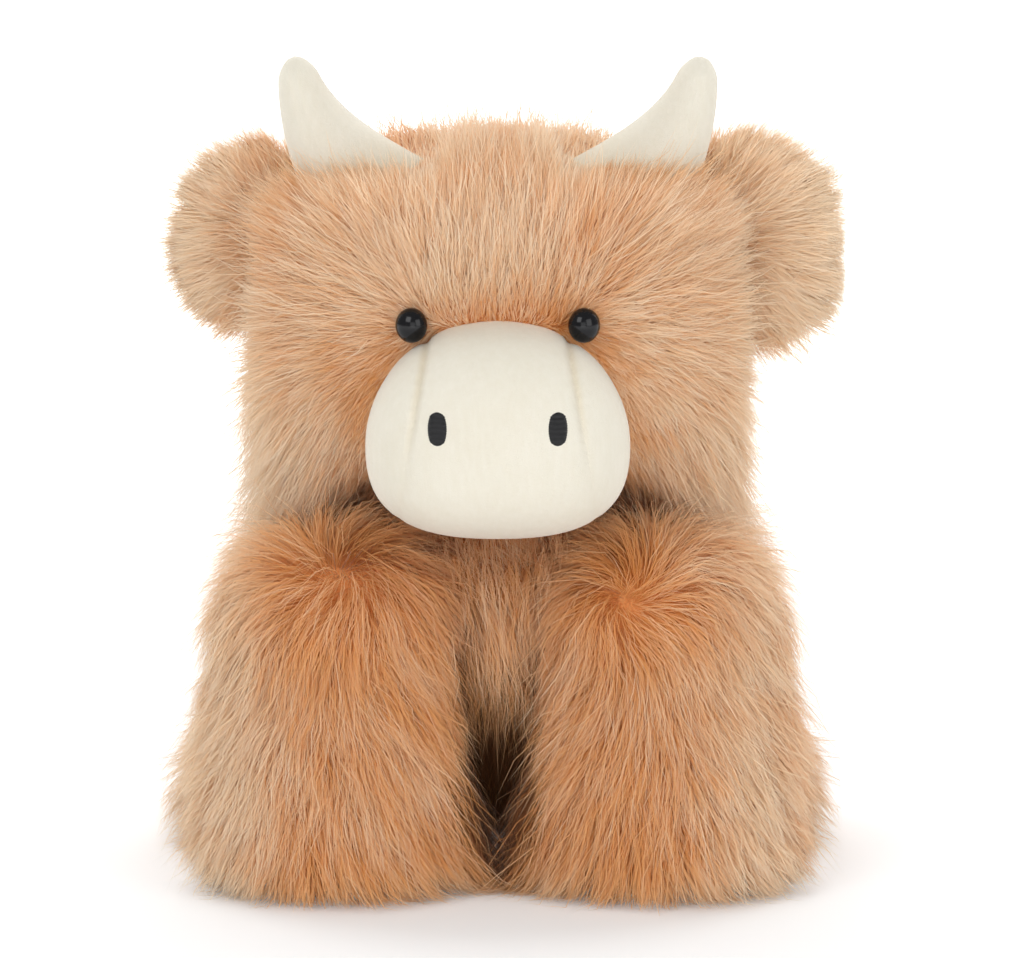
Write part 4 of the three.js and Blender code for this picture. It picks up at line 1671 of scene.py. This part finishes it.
@dataclass
class FrontLegs:
    """The front legs, which stand before the body with their coats brushed down from a whorl."""

    wardrobe: Wardrobe
    x: float = 54.0
    y: float = -66.0
    z: float = 84.0
    half_width: float = 42.0
    radius: float = 35.0
    foot_half_width: float = 47.0
    foot_half_depth: float = 38.0
    foot_forward: float = 17.0
    foot_height: float = 24.0
    sole_rounding: float = 0.6
    whorls: dict = field(
        default_factory=lambda: {Side.LEFT: (39.3, -96.0, 105.5), Side.RIGHT: (-53.0, -84.0, 111.0)}
    )
    partings: dict = field(default_factory=lambda: {Side.LEFT: 50.0, Side.RIGHT: -62.0})
    fill: float = 0.75

    @property
    def ankle(self) -> float:
        """Return how high the ankle is over the shoulder, a negative number."""
        return self.foot_height - self.z

    def _sizes(self, height: Array, grow: float) -> tuple[Array, Array, Array]:
        """Return half width, half depth and forward shift at a height over the shoulder.

        Args:
            height: The height.
            grow: How much larger it is all round.

        Returns:
            The three sizes at each height.
        """
        down = smooth(height / self.ankle)
        half_width = self.half_width + (self.foot_half_width - self.half_width) * down + grow
        half_depth = self.radius + (self.foot_half_depth - self.radius) * down + grow
        return half_width, half_depth, self.foot_forward * down

    def backing(self, side: Side) -> bmesh.types.BMesh:
        """Make a leg's backing: its foot, shank and round top take a third of the rows each.

        Args:
            side: Which of the two.

        Returns:
            The closed mesh.
        """
        bm = sphere_of(88, 96)
        sphere = coordinates(bm)
        row = np.arcsin(np.clip(sphere[:, 2], -1.0, 1.0)) / (math.pi / 2)
        angle = np.arctan2(sphere[:, 1], sphere[:, 0])
        bottom = -self.z + PILE
        foot = np.clip(-(row + 1 / 3) * 1.5, 0.0, 1.0) * (math.pi / 2)
        dome = np.clip((row - 1 / 3) * 1.5, 0.0, 1.0) * (math.pi / 2)
        shank = np.clip((1 / 3 - row) * 1.5, 0.0, 1.0)
        share = np.cos(foot) ** self.sole_rounding * np.cos(dome)
        sole = self.ankle + (bottom - self.ankle) * np.sin(foot) ** self.sole_rounding
        height = np.where(row < -1 / 3, sole, shank * self.ankle)
        height = np.where(row > 1 / 3, (self.radius - PILE) * np.sin(dome), height)
        half_width, half_depth, forward = self._sizes(height, -PILE)
        x = side.value * self.x + half_width * share * np.cos(angle)
        y = self.y + half_depth * share * np.sin(angle) - forward
        move_to(bm, np.stack([x, y, height + self.z], axis=1))
        return bm

    def inside(self, places: Array, grow: float) -> Array:
        """Tell which places lie inside either leg's form.

        Args:
            places: Places in the part's frame.
            grow: How much larger it is all round.

        Returns:
            True for each place inside.
        """
        height = places[:, 2] - self.z
        half_width, half_depth, forward = self._sizes(height, grow)
        x = (np.abs(places[:, 0]) - self.x) / half_width
        y = (places[:, 1] - self.y + forward) / half_depth
        sole = share_at(height, self.ankle, -self.z - grow - self.ankle, self.sole_rounding)
        share = np.where(height < self.ankle, sole, 1.0)
        dome = np.sqrt(np.clip(1.0 - (height / (self.radius + grow)) ** 2, 0.0, 1.0))
        share = np.where(height > 0, dome, share)
        return (x**2 + y**2 < share**2) & (height < self.radius + grow) & (places[:, 2] > -grow)

    def _at_whorl(self, places: Array, reach: float) -> Array:
        """Return how much places lie at a whorl, fading over this reach."""
        gaps = np.min([distance(places, spot) for spot in self.whorls.values()], axis=0)
        return np.exp(-((gaps / reach) ** 2))

    def _inner(self, places: Array) -> Array:
        """Return how much places lie on the inner side, over the foot."""
        _, across, _, z = axes(places)
        return fading(across, 16.0, 30.0) * smooth(z, 34.0, 56.0)

    def comb(self, places: Array, normals: Array, side: Side) -> Array:
        """Brush outwards from the whorl in a swirl, then down and a little outwards to the foot.

        Args:
            places: Places in the part's frame.
            normals: The backing's normals there.
            side: Which of the two.

        Returns:
            The direction of the brush at each place.
        """
        whorl = np.array(self.whorls[side])
        away = unit(places - whorl)
        far = smooth(np.linalg.norm(places - whorl, axis=1), 4.0, 46.0)[:, None]
        lean = (places[:, 0] - self.partings[side]) / self.half_width
        flare = 1.0 + 1.2 * fading(places[:, 2], 8.0, 40.0)
        down = np.stack([0.55 * lean * flare, -0.12 * flare, np.full(len(places), -1.0)], axis=1)
        swirl = 0.7 * side.value * np.cross(normals, away) * (1 - far)
        return away * (1 - far * 0.75) + swirl + unit(down) * far

    def rise(self, places: Array) -> Array:
        """Lift the coat at the foot, on the outer side, at the top and at the whorl.

        Args:
            places: Places in the part's frame.

        Returns:
            Degrees beyond the lift of the whole coat.
        """
        _, across, _, z = axes(places)
        foot = fading(z, 12.0, 36.0)
        outer = smooth(across, 78.0, 92.0)
        top = smooth(z, 97.0, 109.0)
        lifted = 26.0 * foot + 12.0 * outer - 10.0 * self._inner(places) + 12.0 * top
        return lifted + 20.0 * self._at_whorl(places, 8.0)

    def trim(self, places: Array) -> Array:
        """Cut the coat shorter at the sole, on the inner side and in the shoulder's pocket.

        Args:
            places: Places in the part's frame.

        Returns:
            The share of the coat's length.
        """
        _, across, y, z = axes(places)
        sole = (0.85 + 0.15 * smooth(z, 8.0, 26.0)) * (0.5 + 0.5 * smooth(z, 8.2, 11.0))
        pocket = 1.0 - 0.6 * smooth(y, -58.0, -46.0) * smooth(z, 50.0, 70.0)
        touching = fading(across, 16.0, 30.0) * fading(z, 32.0, 50.0)
        outer = smooth(across, 74.0, 90.0) * fading(z, 30.0, 60.0)
        top = 0.15 * smooth(z, 97.0, 109.0)
        return sole * pocket * (1.0 - 0.25 * self._inner(places) + 0.45 * touching - 0.15 * outer + top)

    def shade(self, places: Array) -> Array:
        """Paint shade on the inner side towards the gap between the legs, and at the whorls.

        Args:
            places: Places in the part's frame.

        Returns:
            How much the tint is lowered.
        """
        _, across, _, z = axes(places)
        gap = 0.6 * fading(across, 14.0, 26.0) * smooth(z, 14.0, 34.0) * fading(z, 74.0, 100.0)
        return np.maximum(gap, 0.2 * self._at_whorl(places, 9.0))

    def density(self, places: Array) -> Array:
        """Thin out the sole and the back of the shoulder.

        Args:
            places: Places in the part's frame.

        Returns:
            How densely the roots stand, as a share.
        """
        _, _, y, z = axes(places)
        sole = 0.55 + 0.45 * smooth(z, 8.2, 12.0)
        pocket = 1.0 - 0.75 * smooth(y, -60.0, -46.0) * smooth(z, 40.0, 60.0)
        return sole * pocket

    def paleness(self, places: Array) -> Array:
        """Paint light on the outer edges, more on the right leg, and on the tops under the head; make the
        soles pale and the feet darker; paint shade towards the gap and at the whorls.

        Args:
            places: Places in the part's frame.

        Returns:
            The tint, from 0, dark, to 1, pale.
        """
        x, across, _, z = axes(places)
        # painted light: the outer edges paler, more on the right leg, the lit side
        outer = smooth(across, 60.0, 84.0) * np.where(x > 0, 0.42, 0.62)
        gap = fading(across, 8.0, 24.0)
        # painted light on the tops, which lie in the head's shade
        top = smooth(z, 92.0, 112.0) * fading(across, 60.0, 84.0)
        sole = fading(z, 9.0, 20.0)
        foot = fading(z, 24.0, 44.0)
        pale = 0.38 + outer + 0.14 * top + 0.2 * sole
        # painted shade towards the gap and at the whorls
        return pale - 0.12 * gap - 0.16 * foot - 0.12 * self._at_whorl(places, 15.0)

    def build(self) -> None:
        """Make both legs, each a backing and a coat."""
        for side in Side:
            body = f"front_leg_{side.word}"
            backing = self.wardrobe.stuffed(
                f"front_leg_backing_{side.word}", self.backing(side), body,
                f"front_leg_{side.word}", f"front_leg_filling_{side.word}", fill=self.fill,
            )
            self.wardrobe.coat(f"front_leg_fur_{side.word}", backing, body, Groom(
                comb=lambda p, n, side=side: self.comb(p, n, side), strands=39000, length=27.0, sag=0.18,
                trim=self.trim, density=self.density, paleness=self.paleness, rise=self.rise,
                shade=self.shade, seed=41 + side.value,
            ))


@dataclass
class HindLegs:
    """The hind legs, which lie along the body's sides with their feet just in sight."""

    wardrobe: Wardrobe
    x: float = 72.0
    y: float = 8.0
    turn: float = 25.0
    radius: float = 26.0
    reach: float = 48.0
    height: float = 55.0
    waist: float = 25.0
    toe_droop: float = 0.2
    sole_rounding: float = 0.6
    top_rounding: float = 0.85
    hub: tuple = (0.0, 6.0, 62.0)  # where the fur fans out from, in the leg's own frame
    fill: float = 0.75

    def place(self, points: Array, side: Side) -> Array:
        """Return points of a leg's own frame in the part's frame.

        Args:
            points: The points.
            side: Which of the two.

        Returns:
            The places, one row each.
        """
        turn = math.radians(self.turn)
        x = points[:, 0] * math.cos(turn) - points[:, 1] * math.sin(turn)
        y = points[:, 0] * math.sin(turn) + points[:, 1] * math.cos(turn)
        return np.stack([side.value * (x + self.x), y + self.y, points[:, 2]], axis=1)

    def form(self, grow: float, side: Side) -> Form:
        """Return a leg's form.

        Args:
            grow: How much larger it is all round.
            side: Which of the two.

        Returns:
            The form.
        """
        def place(share: Array, angle: Array, height: Array) -> Array:
            """Return the places at a share of the width, an angle and a height.

            Args:
                share: The share of the full width.
                angle: The angle round the form.
                height: The height.

            Returns:
                The places, one row each.
            """
            ahead = share * np.sin(angle)
            long = np.where(ahead > 0, self.radius, self.reach) + grow
            droop = 1.0 + self.toe_droop * np.minimum(ahead, 0.0)
            x = (self.radius + grow) * share * np.cos(angle)
            return self.place(np.stack([x, long * ahead, height * droop], axis=1), side)

        return Form(-0.5 - grow, self.waist, self.height + grow, place, self.sole_rounding, self.top_rounding)

    def inside(self, places: Array, grow: float) -> Array:
        """Tell which places lie inside either leg's form.

        Args:
            places: Places in the part's frame.
            grow: How much larger it is all round.

        Returns:
            True for each place inside.
        """
        turn = math.radians(self.turn)
        x, y = np.abs(places[:, 0]) - self.x, places[:, 1] - self.y
        across = x * math.cos(turn) + y * math.sin(turn)
        ahead = -x * math.sin(turn) + y * math.cos(turn)
        long = np.where(ahead > 0, self.radius, self.reach) + grow
        wide = (across / (self.radius + grow)) ** 2 + (ahead / long) ** 2
        low = places[:, 2] < self.waist
        reach = np.where(low, -grow - self.waist, self.height + grow - self.waist)
        rounding = np.where(low, self.sole_rounding, self.top_rounding)
        return wide < share_at(places[:, 2], self.waist, reach, rounding) ** 2

    def _groom(self, side: Side) -> Groom:
        """Return how one leg is cut and brushed: outwards, and bare where the body covers it.

        Args:
            side: Which of the two.

        Returns:
            The groom.
        """
        hub = self.place(np.array([self.hub]), side)[0]
        outwards = np.array([0.5 * side.value, -0.1, -0.2])
        return Groom(
            strands=15000, length=29.0, sag=0.06, lift=66.0, tip_lift=44.0, seed=51 + side.value,
            comb=lambda p, n: unit(p - hub) + outwards,
            trim=lambda p: 1.0 - 0.35 * smooth(p[:, 2], 24.0, 44.0),
            density=lambda p: (0.5 + 0.5 * smooth(p[:, 2], 8.0, 11.0)) * (np.abs(p[:, 0]) > 50.0),
            # painted light: the outer side paler, as at the other edges
            paleness=lambda p: 0.52 + 0.32 * smooth(np.abs(p[:, 0]), 78.0, 94.0),
        )

    def build(self) -> None:
        """Make both legs, each a backing and a coat."""
        for side in Side:
            core = self.form(-PILE, side).ball(72, 48)
            body = f"hind_leg_{side.word}"
            backing = self.wardrobe.stuffed(
                f"hind_leg_backing_{side.word}", core, body,
                f"hind_leg_{side.word}", f"hind_leg_filling_{side.word}", fill=self.fill,
            )
            self.wardrobe.coat(f"hind_leg_fur_{side.word}", backing, body, self._groom(side))


@dataclass
class Torso:
    """The body: a pear that leans forward over the front legs, and the neck under the head."""

    wardrobe: Wardrobe
    front_legs: FrontLegs
    hind_legs: HindLegs
    half_width: float = 88.0
    waist: float = 44.0
    top: float = 121.0
    lap_depth: float = 34.0
    chest_depth: float = 70.0
    rump_depth: float = 62.0
    back_depth: float = 40.0
    sole_rounding: float = 0.55
    shoulder_rounding: float = 0.45
    side_rounding: float = 0.9
    coat_split: float = -2.0  # the Y where the front piece of the coat meets the back one
    fill: float = 0.75
    neck: tuple = (0.0, -23.0, 115.0)
    neck_radius: float = 38.0
    neck_fill: float = 0.7

    def form(self, grow: float) -> Form:
        """Return the body's form.

        Args:
            grow: How much larger it is all round.

        Returns:
            The form.
        """
        def place(share: Array, angle: Array, height: Array) -> Array:
            """Return the places at a share of the width, an angle and a height.

            Args:
                share: The share of the full width.
                angle: The angle round the form.
                height: The height.

            Returns:
                The places, one row each.
            """
            rise = smooth(height / self.top)
            front = self.lap_depth + (self.chest_depth - self.lap_depth) * rise + grow
            back = self.rump_depth + (self.back_depth - self.rump_depth) * rise + grow
            along = signed_power(np.sin(angle), self.side_rounding)
            x = (self.half_width + grow) * share * signed_power(np.cos(angle), self.side_rounding)
            y = np.where(along < 0, front, back) * share * along
            return np.stack([x, y, height], axis=1)

        top = self.top + grow
        return Form(-0.5 - grow, self.waist, top, place, self.sole_rounding, self.shoulder_rounding)

    def in_pocket(self, places: Array, grow: float = POCKET_GAP) -> Array:
        """Tell which places lie in the room of a leg."""
        return self.front_legs.inside(places, grow) | self.hind_legs.inside(places, grow)

    def _chest(self, places: Array) -> Array:
        """Return how much places lie on the chest, between the shoulders."""
        _, across, y, z = axes(places)
        return fading(across, 26.0, 44.0) * smooth(z, 56.0, 80.0) * (y < -20.0)

    def comb(self, places: Array, normals: Array) -> Array:
        """Brush down, towards the middle on the chest and outwards elsewhere.

        Args:
            places: Places in the part's frame.
            normals: The backing's normals there.

        Returns:
            The direction of the brush at each place.
        """
        x, _, y, _ = axes(places)
        chest = self._chest(places)
        sideways = 0.35 * (1.0 - chest) * x / self.half_width
        sideways = sideways - 0.55 * chest * np.tanh((x - 9.0) / 18.0)
        back = 0.25 * smooth(y, -20.0, 40.0)
        return np.stack([sideways, back, np.full(len(places), -1.0)], axis=1)

    def rise(self, places: Array) -> Array:
        """Lift the coat on the chest, the shoulders and the sides.

        Args:
            places: Places in the part's frame.

        Returns:
            Degrees beyond the lift of the whole coat.
        """
        _, across, _, z = axes(places)
        shoulder = smooth(z, 74.0, 100.0) * smooth(across, 50.0, 66.0)
        return 36.0 * self._chest(places) + 30.0 * shoulder + 10.0 * smooth(across, 68.0, 78.0)

    def trim(self, places: Array) -> Array:
        """Cut the coat short in the pockets and at the floor.

        Args:
            places: Places in the part's frame.

        Returns:
            The share of the coat's length.
        """
        _, across, _, z = axes(places)
        pocket = np.where(self.in_pocket(places, POCKET_GAP + 2.5), 0.22, 1.0)
        shoulder = smooth(z, 84.0, 104.0) * smooth(across, 50.0, 64.0)
        fuller = 1.0 + 0.35 * self._chest(places) + 0.25 * shoulder
        return pocket * (0.4 + 0.6 * smooth(z, 8.0, 26.0)) * fuller

    def density(self, places: Array) -> Array:
        """Leave out the seat, and thin out the pockets and what lies under the head.

        Args:
            places: Places in the part's frame.

        Returns:
            How densely the roots stand, as a share.
        """
        x, _, y, z = axes(places)
        seat = smooth(z, 8.2, 12.0)
        pocket = np.where(self.in_pocket(places, POCKET_GAP + 2.5), 0.45, 1.0)
        under = np.hypot(x / 1.3, y + 26.0) < 36.0
        return seat * pocket * (1.0 - 0.6 * smooth(z, 106.0, 112.0) * under)

    def paleness(self, places: Array) -> Array:
        """Paint light on the sides, more on the right, and make the chest a little darker.

        Args:
            places: Places in the part's frame.

        Returns:
            The tint, from 0, dark, to 1, pale.
        """
        x, across, _, _ = axes(places)
        # painted light: the sides paler, more on the right, the lit side
        outer = smooth(across, 55.0, 80.0) * np.where(x > 0, 0.30, 0.48)
        return 0.52 + outer - 0.07 * self._chest(places)

    def shade(self, places: Array) -> Array:
        """Paint shade in the gap between the front legs."""
        _, across, y, z = axes(places)
        return 0.85 * fading(z, 56.0, 94.0) * (y < 0) * fading(across, 34.0, 50.0)

    def _core(self) -> bmesh.types.BMesh:
        """Make the backing's mesh, with a pocket for each leg.

        Returns:
            The closed mesh.
        """
        bm = self.form(-PILE).ball(144, 110)
        points = coordinates(bm)
        centre = np.stack([points[:, 0] * 0.3, points[:, 1] * 0.1, 20.0 + points[:, 2] * 0.5], axis=1)
        for _ in range(2):
            points = pulled_out(points, centre, self.in_pocket)
        points[:, 2] = np.maximum(points[:, 2], PILE)
        move_to(bm, points)
        for _ in range(2):
            bmesh.ops.smooth_vert(
                bm, verts=bm.verts, factor=0.4, use_axis_x=True, use_axis_y=True, use_axis_z=True
            )
        return bm

    def build(self) -> None:
        """Make the backing and its coat in two pieces, and the neck."""
        wardrobe, split = self.wardrobe, self.coat_split
        nodes = ("body_skin", "body_filling", "pellet_pouch")
        backing = wardrobe.stuffed("body_backing", self._core(), "torso", *nodes, fill=self.fill)
        groom = Groom(
            comb=self.comb, strands=34000, length=28.0, trim=self.trim, density=self.density,
            paleness=self.paleness, rise=self.rise, shade=self.shade, sag=0.15, seed=61,
        )
        wardrobe.coat_in_sectors(backing, "torso", groom, {
            "body_fur_front": lambda p: p[:, 1] < split,
            "body_fur_back": lambda p: p[:, 1] >= split,
        })
        ball = sphere_of(64, 40, self.neck_radius - PILE / 2)
        bmesh.ops.translate(ball, vec=self.neck, verts=ball.verts)
        neck = wardrobe.stuffed("neck_backing", ball, "torso", fill=self.neck_fill)
        wardrobe.coat("neck_fur", neck, "torso", Groom(
            comb=self.comb, strands=7000, length=14.0, lift=60.0, tip_lift=30.0, seed=71,
            density=lambda p: (p[:, 2] > 108.0) * (p[:, 2] < 140.0),
            paleness=lambda p: np.full(len(p), 0.6),
        ))


@dataclass
class Tail:
    """The tail: a thin furry tube that ends in a long tuft on the floor."""

    wardrobe: Wardrobe
    root: tuple = (0.0, 58.07, 52.0)
    lean: float = 30.0
    length: float = 46.0
    core_radius: float = 4.0
    overlap: float = 3.0  # how far the tube runs on past both of its ends
    tuft_half: tuple = (5.0, 5.0, 11.0)
    tuft_up: float = 6.0
    fill: float = 0.4

    def _egg(self, columns: int, rows: int, up: float, half: tuple) -> bmesh.types.BMesh:
        """Make an egg on the tail's line, so far up from its root, with these half sizes.

        Args:
            columns: Faces round it.
            rows: Faces from pole to pole.
            up: How far up it is from the root.
            half: Its half sizes.

        Returns:
            The closed mesh.
        """
        bm = sphere_of(columns, rows)
        turned = Matrix.Translation(self.root) @ Matrix.Rotation(math.radians(self.lean), 4, "X")
        shape = Matrix.Translation((0, 0, up)) @ Matrix.Diagonal((*half, 1.0))
        bmesh.ops.transform(bm, matrix=turned @ shape, verts=bm.verts)
        return bm

    def build(self) -> None:
        """Make the tube and the tuft, each a backing and a coat."""
        lean = math.radians(self.lean)
        along = np.array([0.0, math.sin(lean), -math.cos(lean)])
        groom = Groom(
            comb=lambda p, n: np.broadcast_to(along, p.shape), strands=4200, length=11.0, lift=40.0,
            lock_size=5.0, tuft_size=2.4, seed=81,
        )
        half = (self.core_radius, self.core_radius, self.length / 2 + self.overlap)
        core = self._egg(32, 40, -self.length / 2, half)
        tube = self.wardrobe.stuffed("tail_backing", core, "tail", "tail", fill=self.fill)
        self.wardrobe.coat("tail_fur", tube, "tail", groom)
        core = self._egg(32, 28, self.tuft_up - self.length, self.tuft_half)
        tuft = self.wardrobe.stuffed("tail_tuft_backing", core, "tail", "tail_tuft", fill=self.fill)
        self.wardrobe.coat("tail_tuft_fur", tuft, "tail", Groom(
            comb=groom.comb, strands=6000, length=23.0, lift=38.0, tip_lift=6.0, sag=0.05, lock_size=6.0,
            paleness=lambda p: np.full(len(p), 0.6), seed=82,
        ))


@dataclass
class Studio:
    """The plain set: camera, floor, world and lamps."""

    wardrobe: Wardrobe
    aim: tuple = (4.67, -60.0, 133.4)
    elevation: float = 11.0
    distance: float = 2500.0
    sensor: float = 36.0
    frame_width: float = 341.3
    floor_radius: float = 6000.0
    soft_light: float = 0.43
    lamp_aim: tuple = (0.0, -0.03, 0.12)  # metres, as the lamps' places and sizes are
    lamps: dict = field(default_factory=lambda: {
        "key": ((-0.75, -1.30, 1.15), 0.9, 8.6),
        "fill": ((0.95, -1.20, 0.60), 0.9, 5.4),
        "front": ((0.05, -1.70, 0.28), 0.9, 3.5),
        "back": ((0.0, 0.85, 1.25), 1.0, 7.0),
        "rim_left": ((-1.0, 0.75, 0.75), 0.8, 8.0),
        "rim_right": ((1.0, 0.75, 0.75), 0.8, 8.0),
    })  # place, size and power

    def build_camera(self) -> None:
        """Place the camera at the photograph's angle."""
        camera = bpy.data.cameras.new("camera")
        camera.sensor_width = self.sensor
        camera.lens = self.sensor * self.distance / self.frame_width
        holder = bpy.data.objects.new("camera", camera)
        bpy.context.scene.collection.objects.link(holder)
        angle = math.radians(self.elevation)
        offset = Vector((0.0, -math.cos(angle), math.sin(angle))) * self.distance
        holder.location = (Vector(self.aim) + offset) * MM
        holder.rotation_euler = (-offset).to_track_quat("-Z", "Y").to_euler()
        bpy.context.scene.camera = holder

    def _lamp(self, name: str, place: tuple, size: float, power: float) -> None:
        """Add a soft square lamp that faces the toy.

        Args:
            name: The name.
            place: Where it stands, in metres.
            size: The length of its sides, in metres.
            power: Its power in watts.
        """
        light = bpy.data.lights.new(name, "AREA")
        light.size = size
        light.energy = power
        lamp = bpy.data.objects.new(name, light)
        bpy.context.scene.collection.objects.link(lamp)
        lamp.location = place
        towards = Vector(self.lamp_aim) - Vector(place)
        lamp.rotation_euler = towards.to_track_quat("-Z", "Y").to_euler()

    def build(self) -> None:
        """Make the floor, the world and the lamps."""
        bm = bmesh.new()
        bmesh.ops.create_circle(bm, cap_ends=True, segments=96, radius=self.floor_radius)
        floor = piece_of("floor", bm, self.wardrobe.floor)
        world = Shader(bpy.data.worlds.new("studio"))
        seen = world.node("ShaderNodeLightPath").outputs["Is Camera Ray"]
        soft = world.node("ShaderNodeBackground", {}, {"Color": (1, 1, 1, 1), "Strength": self.soft_light})
        white = world.node("ShaderNodeBackground", {}, {"Color": (1, 1, 1, 1), "Strength": 1.0})
        mixed = world.node("ShaderNodeMixShader", {}, {0: seen, 1: soft.outputs[0], 2: white.outputs[0]})
        bpy.context.scene.world = world.finish(mixed.outputs[0])
        for name, (place, size, power) in self.lamps.items():
            self._lamp(name, place, size, power)


def main() -> None:
    """Dress the whole toy and set up the studio."""
    logging.basicConfig(level=logging.INFO)
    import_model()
    scene = bpy.context.scene
    scene.view_settings.view_transform = "Standard"
    wardrobe = Wardrobe()
    studio = Studio(wardrobe)
    studio.build_camera()
    front_legs = FrontLegs(wardrobe)
    hind_legs = HindLegs(wardrobe)
    muzzle = Muzzle(wardrobe)
    assemblies = [
        Torso(wardrobe, front_legs, hind_legs), Head(wardrobe, muzzle), muzzle, Eyes(wardrobe),
        Horns(wardrobe), Ears(wardrobe), front_legs, hind_legs, Tail(wardrobe), studio,
    ]
    for assembly in assemblies:
        assembly.build()


if __name__ == "__main__":
    main()
